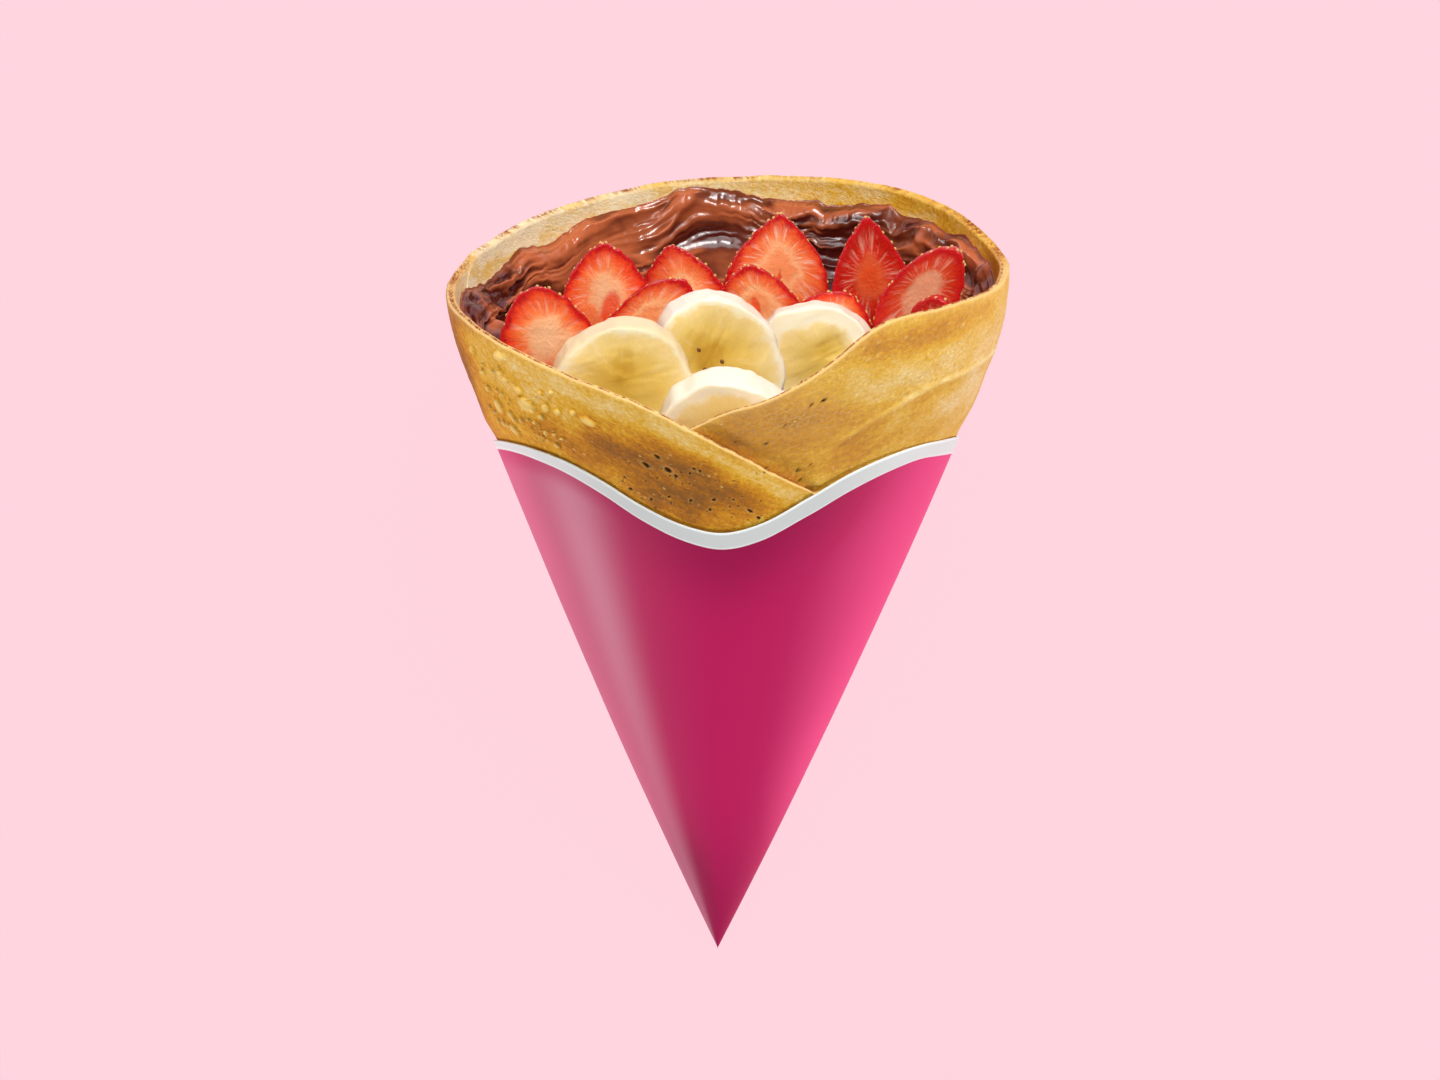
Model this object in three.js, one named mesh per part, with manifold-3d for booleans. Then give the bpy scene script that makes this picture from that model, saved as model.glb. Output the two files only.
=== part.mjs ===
// A filled crepe cone lying on its back: a folded crepe rolled into a cone, held in a
// paper sleeve with a wavy top edge, lined with chocolate spread and filled with
// sliced strawberries and bananas.
//
// Everything is first shaped upright in the cone's own frame: +Z runs up the axis from
// the tip, the shown front faces -Y and azimuths count from the front towards +X. One
// group then lays the whole cone on its back, so that it rests on a narrow flat strip.

import * as THREE from 'three';
import { mergeVertices } from 'three/addons/utils/BufferGeometryUtils.js';
import Module from 'manifold-3d';

const wasm = await Module();
wasm.setup();

// ---------------------------------------------------------------- driving dimensions

// How the cone lies, in degrees and millimetres.
const RESTING_TILT = 21.8; // between the cone's axis and the table
const HALF_LENGTH = 100.4; // half of the lying cone's length, from tip to back rim

// The cone's outside. The radius grows with the height above the tip, a little less
// towards the mouth, and the wall curls slightly inwards at the very top.
const TAPER = 0.4395;
const TAPER_LOSS = 0.00026;
const CURL_START = 165;
const CURL = 0.0075;

// Paper sleeve.
const PAPER = 0.6;
const SLEEVE_MEAN_HEIGHT = 139.8;
const SLEEVE_WAVES = [12.1, -3.4, -5.2, -2.4, -1.2, -0.8]; // cosine waves round the edge
const SLEEVE_SIDE_TILT = 1.9; // the right side stands a little higher
const SLEEVE_INNER_TIP = 4;

// Crepe, folded once: two plies make one wrap.
const WRAP = 2.4;
const CREPE_TIP = 7;
const CREPE_CORE_TOP = 130; // below this the rolled crepe is closed up
const OUTER_WRAP_FOOT = 105; // the outer wrap starts here, inside the inner one
const RIM_WIDTH = 3 * WRAP; // each wrap's solid stays level this far inwards of its rim
const WRAP_CAP = 175; // and closes at this height on the axis
const ABOVE_EVERYTHING = 215;
const LIP_ROUND = 0.8;
const SEAM = 0.1; // how far the two wraps run into each other
const SWELL_HEIGHT = 6; // over this height the crepe swells out above the paper
const FLAP_SINK = 20; // the covered wrap rises back to the surface over this distance
const COVERED_LEFT = [-85, -60]; // azimuths over which the inner wrap goes under the outer
const COVERED_RIGHT = [60, 110]; // and comes out again
const EDGE_STEP = 0.5; // the wraps change places this close to the paper's edge
const UNDER_PAPER = 0.5; // extra depth of the outer wrap there
const HIDDEN_RIM_CUT = 1; // the cut behind the flap reaches this far below the inner rim

// Rim of the inner wrap as [azimuth, height]: down under the left flap, up along the
// right flap, then round the back.
const RIM = [
  [-165, 187.2], [-120, 181.9], [-105, 180.2], [-92, 168], [-75, 160], [-45, 157.5],
  [-20, 160], [-8, 167.4], [0, 172.6], [10, 177.1], [20, 183.8], [31, 192], [42, 193.2],
  [70, 190.6], [105, 188.2], [135, 190.8], [180, 188.5],
];

// Free edge of the outer wrap, the left flap, which runs down under the sleeve.
const FLAP = [
  [-160, 186], [-110, 181], [-85, 180.6], [-65, 181.8], [-45, 180.6], [-30, 178],
  [-15, 173], [0, 163.7], [10, 156.4], [20, 150], [40, 136], [60, 122], [90, 112],
  [140, 112], [175, 150],
];
const FLAP_START = -106; // where the outer wrap comes out of the inner one
const FLAP_END = 62;
const FLAP_HIDDEN = 4; // how deep the outer wrap lies inside the inner one elsewhere
const FLAP_RAMP = 5; // degrees over which it goes there

// Chocolate spread.
const SPREAD_EDGE = [
  [-160, 183.3], [-140, 178.5], [-115, 174.8], [-95, 171], [-75, 167], [-40, 165.5],
  [0, 165.5], [40, 171], [75, 174], [95, 181], [115, 184.5], [150, 186.2], [180, 186.4],
];
const SPREAD_THICKNESS = 2.6;
const SPREAD_RIPPLE = 0.9;
const SPREAD_RIPPLES_ROUND = 7;
const SPREAD_RIPPLE_RISE = 0.12; // radians of ripple per millimetre of height
const MOUND_START_MIDDLE = -9; // the mound rises from this distance behind the axis
const MOUND_START_SIDE = -32; // and from this one beside the bananas
const MOUND_SIDES = [30, 42]; // distances beside the axis over which that changes
const MOUND_RISE = 12; // it rises over this distance
const MOUND_BACK = [24, 36]; // and falls between these distances behind the axis
const FLOOR_FRONT = 154; // the filling's surface round the bananas' feet
const FLOOR_MOUND = 170; // round the feet of the strawberry slices
const FLOOR_BACK = 161; // in the free space behind them

// Gaps and facets.
const GAP = 0.3; // between neighbouring pieces
const LINING_GAP = 0.6; // between the spread and the crepe, whose facets differ a little
const SLEEVE_GAP = 0.55; // between the crepe and the paper, for the same reason
const COLUMNS = 56; // facets round the cone

// Fruit slices. Each one stands with its face to the front. "at" is its centre in the
// cone's frame, and turn, lean and yaw are degrees: turn spins it in its own plane,
// lean tips its top backwards and yaw swings it round the cone's axis. A strawberry
// slice is narrowest at its tip: the larger taper is, the sharper the tip.
const STRAWBERRIES = [
  { name: 'strawberry_a', at: [-43.3, -10.5, 175.6], size: [18.4, 24.3, 4.6], taper: 0.9, pose: [-96, 2, 8] },
  { name: 'strawberry_b', at: [-29.9, 6, 177.6], size: [22.3, 26.8, 4.6], taper: 0.56, pose: [3, 4, 4] },
  { name: 'strawberry_c', at: [-20.2, -2.5, 172.2], size: [16.5, 32.0, 4.6], taper: 0.2, pose: [-41, 0, 0] },
  { name: 'strawberry_d', at: [-11.2, 15.5, 174.3], size: [22.0, 26.3, 4.6], taper: 0.55, pose: [14, 6, 0] },
  { name: 'strawberry_e', at: [12.6, 21, 179.0], size: [26.5, 30.4, 4.6], taper: 0.85, pose: [-2, 6, 0] },
  { name: 'strawberry_f', at: [7.4, 9, 172.4], size: [23.5, 25.3, 4.6], taper: 0.53, pose: [10, 2, 0] },
  { name: 'strawberry_g', at: [26.4, 3.3, 170.7], size: [22.3, 19.8, 4.6], taper: 0.39, pose: [-23, 2, 0] },
  { name: 'strawberry_h', at: [36.0, 16, 179.5], size: [19.7, 31.1, 4.6], taper: 0.72, pose: [6, 6, 0] },
  { name: 'strawberry_i', at: [47.9, -0.8, 178.3], size: [17.4, 32.6, 5.0], taper: 0.2, pose: [-33, 2, -8] },
  { name: 'strawberry_j', at: [50.9, -14, 174.9], size: [13.1, 17.2, 5.0], taper: 0.15, pose: [-8, 0, -20] },
];
const BANANAS = [
  { name: 'banana_1', at: [-24.8, -32, 165.6], size: [34.5, 36.0, 8.4], pose: [-19, 0, 6] },
  { name: 'banana_2', at: [-1.6, -19, 169.6], size: [29.2, 35.4, 9.0], pose: [36, 2, 6] },
  { name: 'banana_3', at: [21.7, -7, 163.8], size: [33.7, 31.8, 7.0], pose: [-3, 6, 0] },
  { name: 'banana_4', at: [0.8, -44, 157.8], size: [36.2, 35.6, 9.0], pose: [-11, -8, 0] },
];
const STRAWBERRY_OUTLINE_POINTS = 20;
const BANANA_OUTLINE_POINTS = 22;
const BANANA_THREE_CORNERS = 0.02; // share of the radius by which the corners stand out
const BANANA_FIVE_CORNERS = 0.012;
const BANANA_CORNER_PHASE = 0.6;

// Layers of a slice from its back face to its front face, as [share of the thickness,
// share of the outline]. A strawberry slice keeps the berry's rounding on its back.
const STRAWBERRY_LAYERS = [[-0.5, 0.84], [-0.2, 1], [0.3, 1], [0.5, 0.93]];
const BANANA_LAYERS = [[-0.5, 0.96], [-0.3, 1], [0.34, 1], [0.5, 0.97]];

// ------------------------------------------------------------------- small functions

const radians = THREE.MathUtils.degToRad;
const mix = THREE.MathUtils.lerp;
const smooth = (x, low, high) => THREE.MathUtils.smoothstep(x, low, high);

/** A smooth curve round the full turn through [azimuth, value] stations. */
function through(stations, azimuth) {
  const count = stations.length;
  const station = (index) => {
    const lap = Math.floor(index / count);
    const [at, value] = stations[index - lap * count];
    return [at + lap * 360, value];
  };
  const first = stations[0][0];
  const turn = first + THREE.MathUtils.euclideanModulo(azimuth - first, 360);
  let index = 0;
  while (station(index + 1)[0] <= turn) {
    index += 1;
  }
  const slope = (middle) => {
    const [a0, v0] = station(middle - 1);
    const [a1, v1] = station(middle + 1);
    return (v1 - v0) / (a1 - a0);
  };
  const [start, from] = station(index);
  const [end, to] = station(index + 1);
  const span = end - start;
  const t = (turn - start) / span;
  const bend = t * (1 - t) * span;
  const straight = mix(from, to, t * t * (3 - 2 * t));
  return straight + bend * (slope(index) * (1 - t) - slope(index + 1) * t);
}

/** The cone's plain outside radius at a height. */
function coneRadius(height) {
  const curl = Math.max(0, height - CURL_START);
  return TAPER * height - TAPER_LOSS * height ** 2 - CURL * curl ** 2;
}

/** Flattens a radius where it would come closer to the table than the clearance. */
function aboveTable(radius, azimuth, height, clearance) {
  const downwards = -Math.cos(radians(azimuth)) * Math.cos(radians(RESTING_TILT));
  if (downwards <= 0) {
    return radius;
  }
  const limit = (height * Math.sin(radians(RESTING_TILT)) - clearance) / downwards;
  return Math.min(radius, limit);
}

/** Height of the sleeve's wavy top edge. */
function sleeveEdge(azimuth) {
  const angle = radians(azimuth);
  const start = SLEEVE_MEAN_HEIGHT + SLEEVE_SIDE_TILT * Math.sin(angle);
  return SLEEVE_WAVES.reduce((sum, size, index) => sum + size * Math.cos((index + 1) * angle), start);
}

/**
 * A closed solid from rings stacked from the bottom to the top. Each ring is a function
 * from azimuth to [radius, height]. Two points on the axis close the ends.
 */
function ringSolid(bottom, rings, top) {
  const points = [0, 0, bottom];
  for (const ring of rings) {
    for (let column = 0; column < COLUMNS; column += 1) {
      const azimuth = (360 / COLUMNS) * column - 180;
      const [radius, height] = ring(azimuth);
      points.push(radius * Math.sin(radians(azimuth)), -radius * Math.cos(radians(azimuth)), height);
    }
  }
  points.push(0, 0, top);
  const last = points.length / 3 - 1;
  const at = (ring, column) => 1 + ring * COLUMNS + (column % COLUMNS);
  const faces = [];
  for (let column = 0; column < COLUMNS; column += 1) {
    faces.push(0, at(0, column + 1), at(0, column));
    for (let ring = 0; ring + 1 < rings.length; ring += 1) {
      faces.push(at(ring, column), at(ring, column + 1), at(ring + 1, column + 1));
      faces.push(at(ring, column), at(ring + 1, column + 1), at(ring + 1, column));
    }
    faces.push(last, at(rings.length - 1, column), at(rings.length - 1, column + 1));
  }
  return indexed(points, faces);
}

/** A geometry from plain lists of coordinates and triangle corners. */
function indexed(points, faces) {
  const geometry = new THREE.BufferGeometry();
  geometry.setAttribute('position', new THREE.Float32BufferAttribute(points, 3));
  geometry.setIndex(faces);
  return geometry;
}

/** A solid that can be joined and cut, from a closed geometry. */
function solid(geometry) {
  const merged = mergeVertices(geometry);
  const mesh = new wasm.Mesh({
    numProp: 3,
    vertProperties: new Float32Array(merged.attributes.position.array),
    triVerts: new Uint32Array(merged.index.array),
  });
  return new wasm.Manifold(mesh);
}

/** The geometry of a joined or cut solid. */
function geometryOf(body) {
  const { vertProperties, triVerts } = body.getMesh();
  return indexed(Array.from(vertProperties), Array.from(triVerts));
}

/** A named mesh of flat facets in its own plain material. */
function piece(name, geometry, colour, roughness) {
  const facets = geometry.toNonIndexed();
  facets.computeVertexNormals();
  const material = new THREE.MeshStandardMaterial({ color: colour, roughness, metalness: 0 });
  const mesh = new THREE.Mesh(facets, material);
  mesh.name = name;
  return mesh;
}

// ------------------------------------------------------------------------ the sleeve

/** The paper cone: closed at the tip, one paper thick, open at the wavy top. */
function paperSleeve() {
  const outerShares = [0.1, 0.25, 0.42, 0.6, 0.78, 0.92, 1];
  const innerShares = [1, 0.8, 0.55, 0.3];
  const outer = (share) => (azimuth) => {
    const height = share * sleeveEdge(azimuth);
    return [aboveTable(coneRadius(height), azimuth, height, 0), height];
  };
  const inner = (heightAt) => (azimuth) => {
    const height = heightAt(azimuth);
    return [aboveTable(coneRadius(height) - PAPER, azimuth, height, PAPER), height];
  };
  const rings = [
    ...outerShares.map(outer),
    ...innerShares.map((share) => inner((azimuth) => share * sleeveEdge(azimuth))),
    inner(() => SLEEVE_INNER_TIP),
  ];
  return ringSolid(0, rings, SLEEVE_INNER_TIP);
}

// ------------------------------------------------------------------------- the crepe

/** How far the crepe stays inside the cone's outside, to leave room for the paper. */
function tuck(azimuth, height) {
  const edge = sleeveEdge(azimuth);
  return (PAPER + SLEEVE_GAP) * (1 - smooth(height, edge + EDGE_STEP, edge + SWELL_HEIGHT));
}

/** How far the inner wrap lies below the outer one, most of all along the flap's edge. */
function sink(azimuth, height) {
  const covered = smooth(azimuth, ...COVERED_LEFT) * (1 - smooth(azimuth, ...COVERED_RIGHT));
  const clear = Math.max(0, height - through(FLAP, azimuth));
  return WRAP * covered * Math.exp(-clear / FLAP_SINK);
}

/** Outside radius of the inner wrap, which carries the back and the right flap. */
function innerWrapRadius(azimuth, height) {
  const edge = sleeveEdge(azimuth);
  const free = smooth(height, edge - 3 * EDGE_STEP, edge - EDGE_STEP);
  const below = Math.max(tuck(azimuth, height), sink(azimuth, height));
  const radius = coneRadius(height) - mix(PAPER + SLEEVE_GAP, below, free);
  return aboveTable(radius, azimuth, height, tuck(azimuth, height));
}

/** Outside radius of the outer wrap, which comes out of the inner one as the left flap. */
function outerWrapRadius(azimuth, height) {
  const edge = sleeveEdge(azimuth);
  const covered = UNDER_PAPER * (1 - smooth(height, edge - EDGE_STEP, edge + EDGE_STEP));
  const shown = smooth(azimuth, FLAP_START - FLAP_RAMP, FLAP_START) *
    (1 - smooth(azimuth, FLAP_END, FLAP_END + FLAP_RAMP));
  return coneRadius(height) - tuck(azimuth, height) - covered - FLAP_HIDDEN * (1 - shown);
}

/** Inside radius of the rolled crepe. */
function insideRadius(azimuth, height) {
  return coneRadius(height) - sink(azimuth, height) - WRAP;
}

/** A wrap's wall as rings from its feet up to its rim, with the lip rounded. */
function wallRings(feet, rimAt, radiusAt) {
  const levels = [
    (edge) => edge - 3 * EDGE_STEP,
    (edge) => edge - EDGE_STEP,
    (edge) => edge + EDGE_STEP,
    (edge) => edge + SWELL_HEIGHT / 2,
    (edge) => edge + SWELL_HEIGHT,
    (edge, rim) => mix(edge + SWELL_HEIGHT, rim, 0.35),
    (edge, rim) => mix(edge + SWELL_HEIGHT, rim, 0.7),
    (edge, rim) => rim - LIP_ROUND,
  ];
  const least = 0.3; // millimetres; keeps the rings apart where the rim dips under the paper
  const ringAt = (heightAt, inset) => (azimuth) => {
    const height = heightAt(azimuth);
    return [radiusAt(azimuth, height) - inset, height];
  };
  const wall = levels.map((level, index) => ringAt((azimuth) => {
    const rim = rimAt(azimuth);
    const highest = rim - least * (levels.length - index);
    return Math.min(level(sleeveEdge(azimuth), rim), highest);
  }, 0));
  const covered = feet.map((height) => ringAt(() => height, 0));
  return [...covered, ...wall, ringAt(rimAt, LIP_ROUND), ringAt(rimAt, RIM_WIDTH)];
}

/** The space inside the rolled crepe, from the closed-up core to above the mouth. */
function insideSpace() {
  const levels = [CREPE_CORE_TOP, 142, 152, 161, 169, 177, 185, ABOVE_EVERYTHING];
  const rings = levels.map((height) => (azimuth) => [insideRadius(azimuth, height), height]);
  return ringSolid(CREPE_CORE_TOP, rings, ABOVE_EVERYTHING);
}

/** The space that leaves the left flap one wrap thick above the inner wrap's hidden rim. */
function behindFlap() {
  const foot = (azimuth) => through(RIM, azimuth) - HIDDEN_RIM_CUT;
  const shares = [0, 0.3, 0.7, 1];
  const rings = shares.map((share) => (azimuth) => {
    const height = mix(foot(azimuth), ABOVE_EVERYTHING, share);
    return [coneRadius(height) - WRAP - SEAM, height];
  });
  const base = (azimuth) => [coneRadius(foot(azimuth)) - RIM_WIDTH, foot(azimuth)];
  return ringSolid(SLEEVE_MEAN_HEIGHT, [base, ...rings], ABOVE_EVERYTHING);
}

/** The rolled crepe as one solid. */
function crepe() {
  const innerRim = (azimuth) => through(RIM, azimuth);
  const outerRim = (azimuth) => through(FLAP, azimuth);
  const innerFeet = [CREPE_TIP, 40, 75, OUTER_WRAP_FOOT];
  const outerFeet = [OUTER_WRAP_FOOT];
  const innerRings = wallRings(innerFeet, innerRim, innerWrapRadius);
  const outerRings = wallRings(outerFeet, outerRim, outerWrapRadius);
  const innerWrap = ringSolid(CREPE_TIP, innerRings, WRAP_CAP);
  const outerWrap = ringSolid(OUTER_WRAP_FOOT, outerRings, WRAP_CAP);
  const flap = solid(outerWrap).subtract(solid(behindFlap()));
  return geometryOf(solid(innerWrap).add(flap).subtract(solid(insideSpace())));
}

// --------------------------------------------------------------------- fruit slices

/** Outline of a cut strawberry with its tip at the top. */
function strawberryOutline([width, length], taper) {
  const shape = (angle) => Math.sin(angle) * Math.abs(Math.sin(angle / 2)) ** taper;
  const angles = Array.from({ length: STRAWBERRY_OUTLINE_POINTS }, (_, index) => (
    (2 * Math.PI * (index + 0.5)) / STRAWBERRY_OUTLINE_POINTS
  ));
  const widest = Math.max(...angles.map((angle) => Math.abs(shape(angle))));
  return angles.map((angle) => [
    -(width / 2) * (shape(angle) / widest),
    (length / 2) * Math.cos(angle),
  ]);
}

/** Outline of a cut banana: nearly round, with three and five soft corners. */
function bananaOutline([width, length]) {
  return Array.from({ length: BANANA_OUTLINE_POINTS }, (_, index) => {
    const angle = (2 * Math.PI * index) / BANANA_OUTLINE_POINTS;
    const three = BANANA_THREE_CORNERS * Math.cos(3 * angle + BANANA_CORNER_PHASE);
    const reach = 1 + three + BANANA_FIVE_CORNERS * Math.cos(5 * angle);
    return [-(width / 2) * reach * Math.sin(angle), (length / 2) * reach * Math.cos(angle)];
  });
}

/** A slice with two flat faces and a rounded rim between them. */
function sliceSolid(outline, thickness, layers) {
  const points = layers.flatMap(([share, scale]) => (
    outline.flatMap(([x, y]) => [x * scale, y * scale, share * thickness])
  ));
  const count = outline.length;
  const at = (layer, index) => layer * count + (index % count);
  const top = layers.length - 1;
  const faces = [];
  for (let index = 0; index < count; index += 1) {
    for (let layer = 0; layer + 1 < layers.length; layer += 1) {
      faces.push(at(layer, index), at(layer, index + 1), at(layer + 1, index + 1));
      faces.push(at(layer, index), at(layer + 1, index + 1), at(layer + 1, index));
    }
  }
  for (let index = 1; index + 1 < count; index += 1) {
    faces.push(at(0, 0), at(0, index + 1), at(0, index));
    faces.push(at(top, 0), at(top, index), at(top, index + 1));
  }
  return indexed(points, faces);
}

/** The solid of one strawberry or banana slice, grown by a margin on every side. */
function sliceGeometry({ size, taper }, margin) {
  const [width, length, thickness] = size.map((side) => side + 2 * margin);
  if (taper === undefined) {
    return sliceSolid(bananaOutline([width, length]), thickness, BANANA_LAYERS);
  }
  return sliceSolid(strawberryOutline([width, length], taper), thickness, STRAWBERRY_LAYERS);
}

/** Stands a mesh in the cone with its face to the front. */
function standing(mesh, { at, pose }) {
  const [turn, lean, yaw] = pose.map(radians);
  const holder = new THREE.Group();
  holder.position.set(...at);
  holder.rotation.z = yaw;
  mesh.rotation.set(Math.PI / 2 - lean, 0, turn);
  holder.add(mesh);
  holder.updateMatrixWorld(true);
  return holder;
}

/** The room one slice takes up in the spread, in the cone's frame. */
function slicePocket(slice) {
  const mesh = new THREE.Mesh(sliceGeometry(slice, GAP));
  standing(mesh, slice);
  return solid(mesh.geometry.applyMatrix4(mesh.matrixWorld));
}

// ------------------------------------------------------------------ chocolate spread

/** Height of the spread's upper surface between the walls. */
function floorHeight(side, back) {
  const start = mix(MOUND_START_MIDDLE, MOUND_START_SIDE, smooth(Math.abs(side), ...MOUND_SIDES));
  const mound = smooth(back, start, start + MOUND_RISE);
  const drop = smooth(back, ...MOUND_BACK);
  return mix(FLOOR_FRONT, FLOOR_MOUND, mound) - (FLOOR_MOUND - FLOOR_BACK) * drop;
}

/** Thickness of the lining on the crepe, with broad spoon ripples. */
function liningThickness(azimuth, height) {
  const wave = SPREAD_RIPPLES_ROUND * radians(azimuth) + SPREAD_RIPPLE_RISE * height;
  return SPREAD_THICKNESS + SPREAD_RIPPLE * Math.sin(wave);
}

/** The spread: a plug in the cone with a lining that climbs the back and the sides. */
function chocolateSpread() {
  const outside = (azimuth, height) => insideRadius(azimuth, height) - LINING_GAP;
  const inside = (azimuth, height) => outside(azimuth, height) - liningThickness(azimuth, height);
  const foot = CREPE_CORE_TOP + GAP;
  const heightAt = (share) => (azimuth) => mix(foot, through(SPREAD_EDGE, azimuth), share);
  const body = [0, 0.35, 0.7, 1].map((share) => (azimuth) => {
    const height = heightAt(share)(azimuth);
    return [outside(azimuth, height), height];
  });
  const floorAt = (azimuth, share) => {
    const reach = share * inside(azimuth, FLOOR_BACK);
    return floorHeight(reach * Math.sin(radians(azimuth)), -reach * Math.cos(radians(azimuth)));
  };
  const floor = [0.4, 0.75, 0.97].map((share) => (azimuth) => {
    const height = floorAt(azimuth, share);
    return [share * inside(azimuth, height), height];
  });
  const walls = [2, 10, 22, 45].map((rise) => (azimuth) => {
    const height = floorAt(azimuth, 1) + rise;
    return [inside(azimuth, height), height];
  });
  const hollow = solid(ringSolid(FLOOR_MOUND, [...floor, ...walls], ABOVE_EVERYTHING));
  const pockets = [...STRAWBERRIES, ...BANANAS].map(slicePocket);
  const full = solid(ringSolid(foot, body, FLOOR_MOUND)).subtract(hollow);
  return geometryOf(pockets.reduce((rest, pocket) => rest.subtract(pocket), full));
}

// ---------------------------------------------------------------------- the assembly

const lying = new THREE.Group();
lying.rotation.x = -radians(90 - RESTING_TILT);
lying.position.y = -HALF_LENGTH;
lying.add(piece('paper_sleeve', paperSleeve(), 0xb1275a, 0.45));
lying.add(piece('crepe', crepe(), 0xdeb14d, 0.7));
lying.add(piece('chocolate_spread', chocolateSpread(), 0x66281a, 0.3));
for (const slice of STRAWBERRIES) {
  lying.add(standing(piece(slice.name, sliceGeometry(slice, 0), 0xea6a45, 0.35), slice));
}
for (const slice of BANANAS) {
  lying.add(standing(piece(slice.name, sliceGeometry(slice, 0), 0xf0dca8, 0.5), slice));
}

const crepeCone = new THREE.Group();
crepeCone.add(lying);

export default crepeCone;
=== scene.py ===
"""Looks of a filled crepe cone that lies on its back and is seen from straight above.

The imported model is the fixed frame. Every shape here is worked out in the cone's own
frame, in millimetres: the height runs up the axis from the tip, azimuths count from the
shown front towards the right, and "back" is the distance behind the axis.
"""

import logging
import math
from dataclasses import dataclass, field
from enum import Enum
from typing import Callable, Sequence

import bpy
import numpy as np
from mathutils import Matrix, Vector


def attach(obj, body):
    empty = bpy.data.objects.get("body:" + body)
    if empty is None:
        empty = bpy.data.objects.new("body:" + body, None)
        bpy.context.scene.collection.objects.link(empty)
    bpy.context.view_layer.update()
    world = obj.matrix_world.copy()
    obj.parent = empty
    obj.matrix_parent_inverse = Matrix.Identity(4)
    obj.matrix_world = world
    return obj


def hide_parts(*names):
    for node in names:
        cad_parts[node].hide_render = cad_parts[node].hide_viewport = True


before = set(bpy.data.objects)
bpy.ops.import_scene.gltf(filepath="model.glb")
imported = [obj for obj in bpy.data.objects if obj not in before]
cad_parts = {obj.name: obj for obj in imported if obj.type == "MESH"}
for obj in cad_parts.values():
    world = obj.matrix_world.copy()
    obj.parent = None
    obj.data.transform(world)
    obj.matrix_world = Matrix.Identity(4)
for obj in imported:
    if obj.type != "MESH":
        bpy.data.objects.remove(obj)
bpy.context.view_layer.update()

log = logging.getLogger("crepe_cone")

Array = np.ndarray
Stations = tuple[tuple[float, float], ...]
Vec3 = tuple[float, float, float]
Socket = bpy.types.NodeSocket
# A soft patch: its strength, its middle (across, up) and its reach (across, up).
Cloud = tuple[float, float, float, float, float]
# A noise texture: the size of its patches in millimetres, its detail and its roughness.
Grain = tuple[float, float, float]

MM = 0.001

# How the cone lies: its axis's tilt in degrees, and how far up it the part's middle is.
RESTING_TILT = 21.8
HALF_LENGTH = 100.4

# The cone's outside, and the radius at which its skin is unrolled.
TAPER = 0.4395
TAPER_LOSS = 0.00026
CURL_START = 165.0
CURL = 0.0075
SKIN_RADIUS = 70.0

# A wrap's thickness, the room for the paper, and where the flap lies on the inner wrap.
WRAP = 2.4
PAPER_ROOM = 0.95
SWELL_HEIGHT = 6.0
FLAP_SINK = 20.0
COVERED = (-85.0, -60.0, 60.0, 110.0)
BEHIND_FLAP = (-112.0, -104.0, 20.0, 60.0)

# Primes and mask that mix the bits of the noise's hash.
CELL_PRIMES = np.array([73856093, 19349663, 83492791])
SEED_PRIME = 40503
MIX_PRIME = 1274126177
HASH_MASK = 0x7FFFFFFF

# Heights of edges and the border's width, by azimuth.
RIM: Stations = (
    (-165, 187.2), (-120, 181.9), (-105, 180.2), (-92, 168), (-75, 160), (-45, 157.5),
    (-20, 160), (-8, 167.4), (0, 172.6), (10, 177.1), (20, 183.8), (31, 192), (42, 193.2),
    (70, 190.6), (105, 188.2), (135, 190.8), (180, 188.5),
)
FLAP: Stations = (
    (-160, 186), (-110, 181), (-85, 180.6), (-65, 181.8), (-45, 180.6), (-30, 178),
    (-15, 173), (0, 163.7), (10, 156.4), (20, 150), (40, 136), (60, 122), (90, 112),
    (140, 112), (175, 150),
)
SLEEVE_EDGE: Stations = (
    (-180, 137.0), (-140, 135.5), (-100, 136.4), (-90, 140.5), (-70, 148.1), (-60, 151.4),
    (-50, 153.5), (-40, 153.6), (-30, 150.5), (-20, 144.9), (-10, 140.4), (0, 138.5),
    (10, 141.5), (20, 147.7), (30, 153.3), (40, 155.8), (50, 155.7), (60, 153.5),
    (70, 150.6), (80, 146.8), (90, 142.8), (100, 138.3), (140, 136.0),
)
BAND_WIDTH: Stations = (
    (-180, 3.0), (-100, 2.4), (-60, 2.5), (-40, 3.6), (-25, 4.4), (0, 4.8), (12, 5.2),
    (26, 5.7), (40, 4.9), (52, 4.2), (70, 4.6), (100, 4.0), (140, 3.4),
)
SPREAD_EDGE: Stations = (
    (-174, 186.4), (-168, 185.2), (-163, 183.3), (-157, 181.8), (-151, 181.0), (-145, 179.8),
    (-138, 176.8), (-134, 176.2), (-127.5, 177.9), (-122.5, 175.6), (-117, 174.2),
    (-111, 174.0), (-105, 175.2), (-95, 176.6), (-84, 172), (-75, 167), (-40, 160), (0, 158),
    (40, 166), (75, 176), (90, 181.5), (97, 182.6), (102.5, 184.4), (107.5, 184.2),
    (111, 184.9), (116, 185.9), (124, 184.6), (131, 185.5), (137, 184.7), (143, 186.4),
    (150, 184.8), (157, 183.4), (160, 184.1), (170, 183.2), (175, 184.6), (180, 185.6),
)


# --------------------------------------------------------------------- plain functions


def smooth(x: Array | float, low: float, high: float) -> Array:
    """A smooth step from 0 at low to 1 at high."""
    t = np.clip((np.asarray(x, float) - low) / (high - low), 0.0, 1.0)
    return t * t * (3.0 - 2.0 * t)


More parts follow.
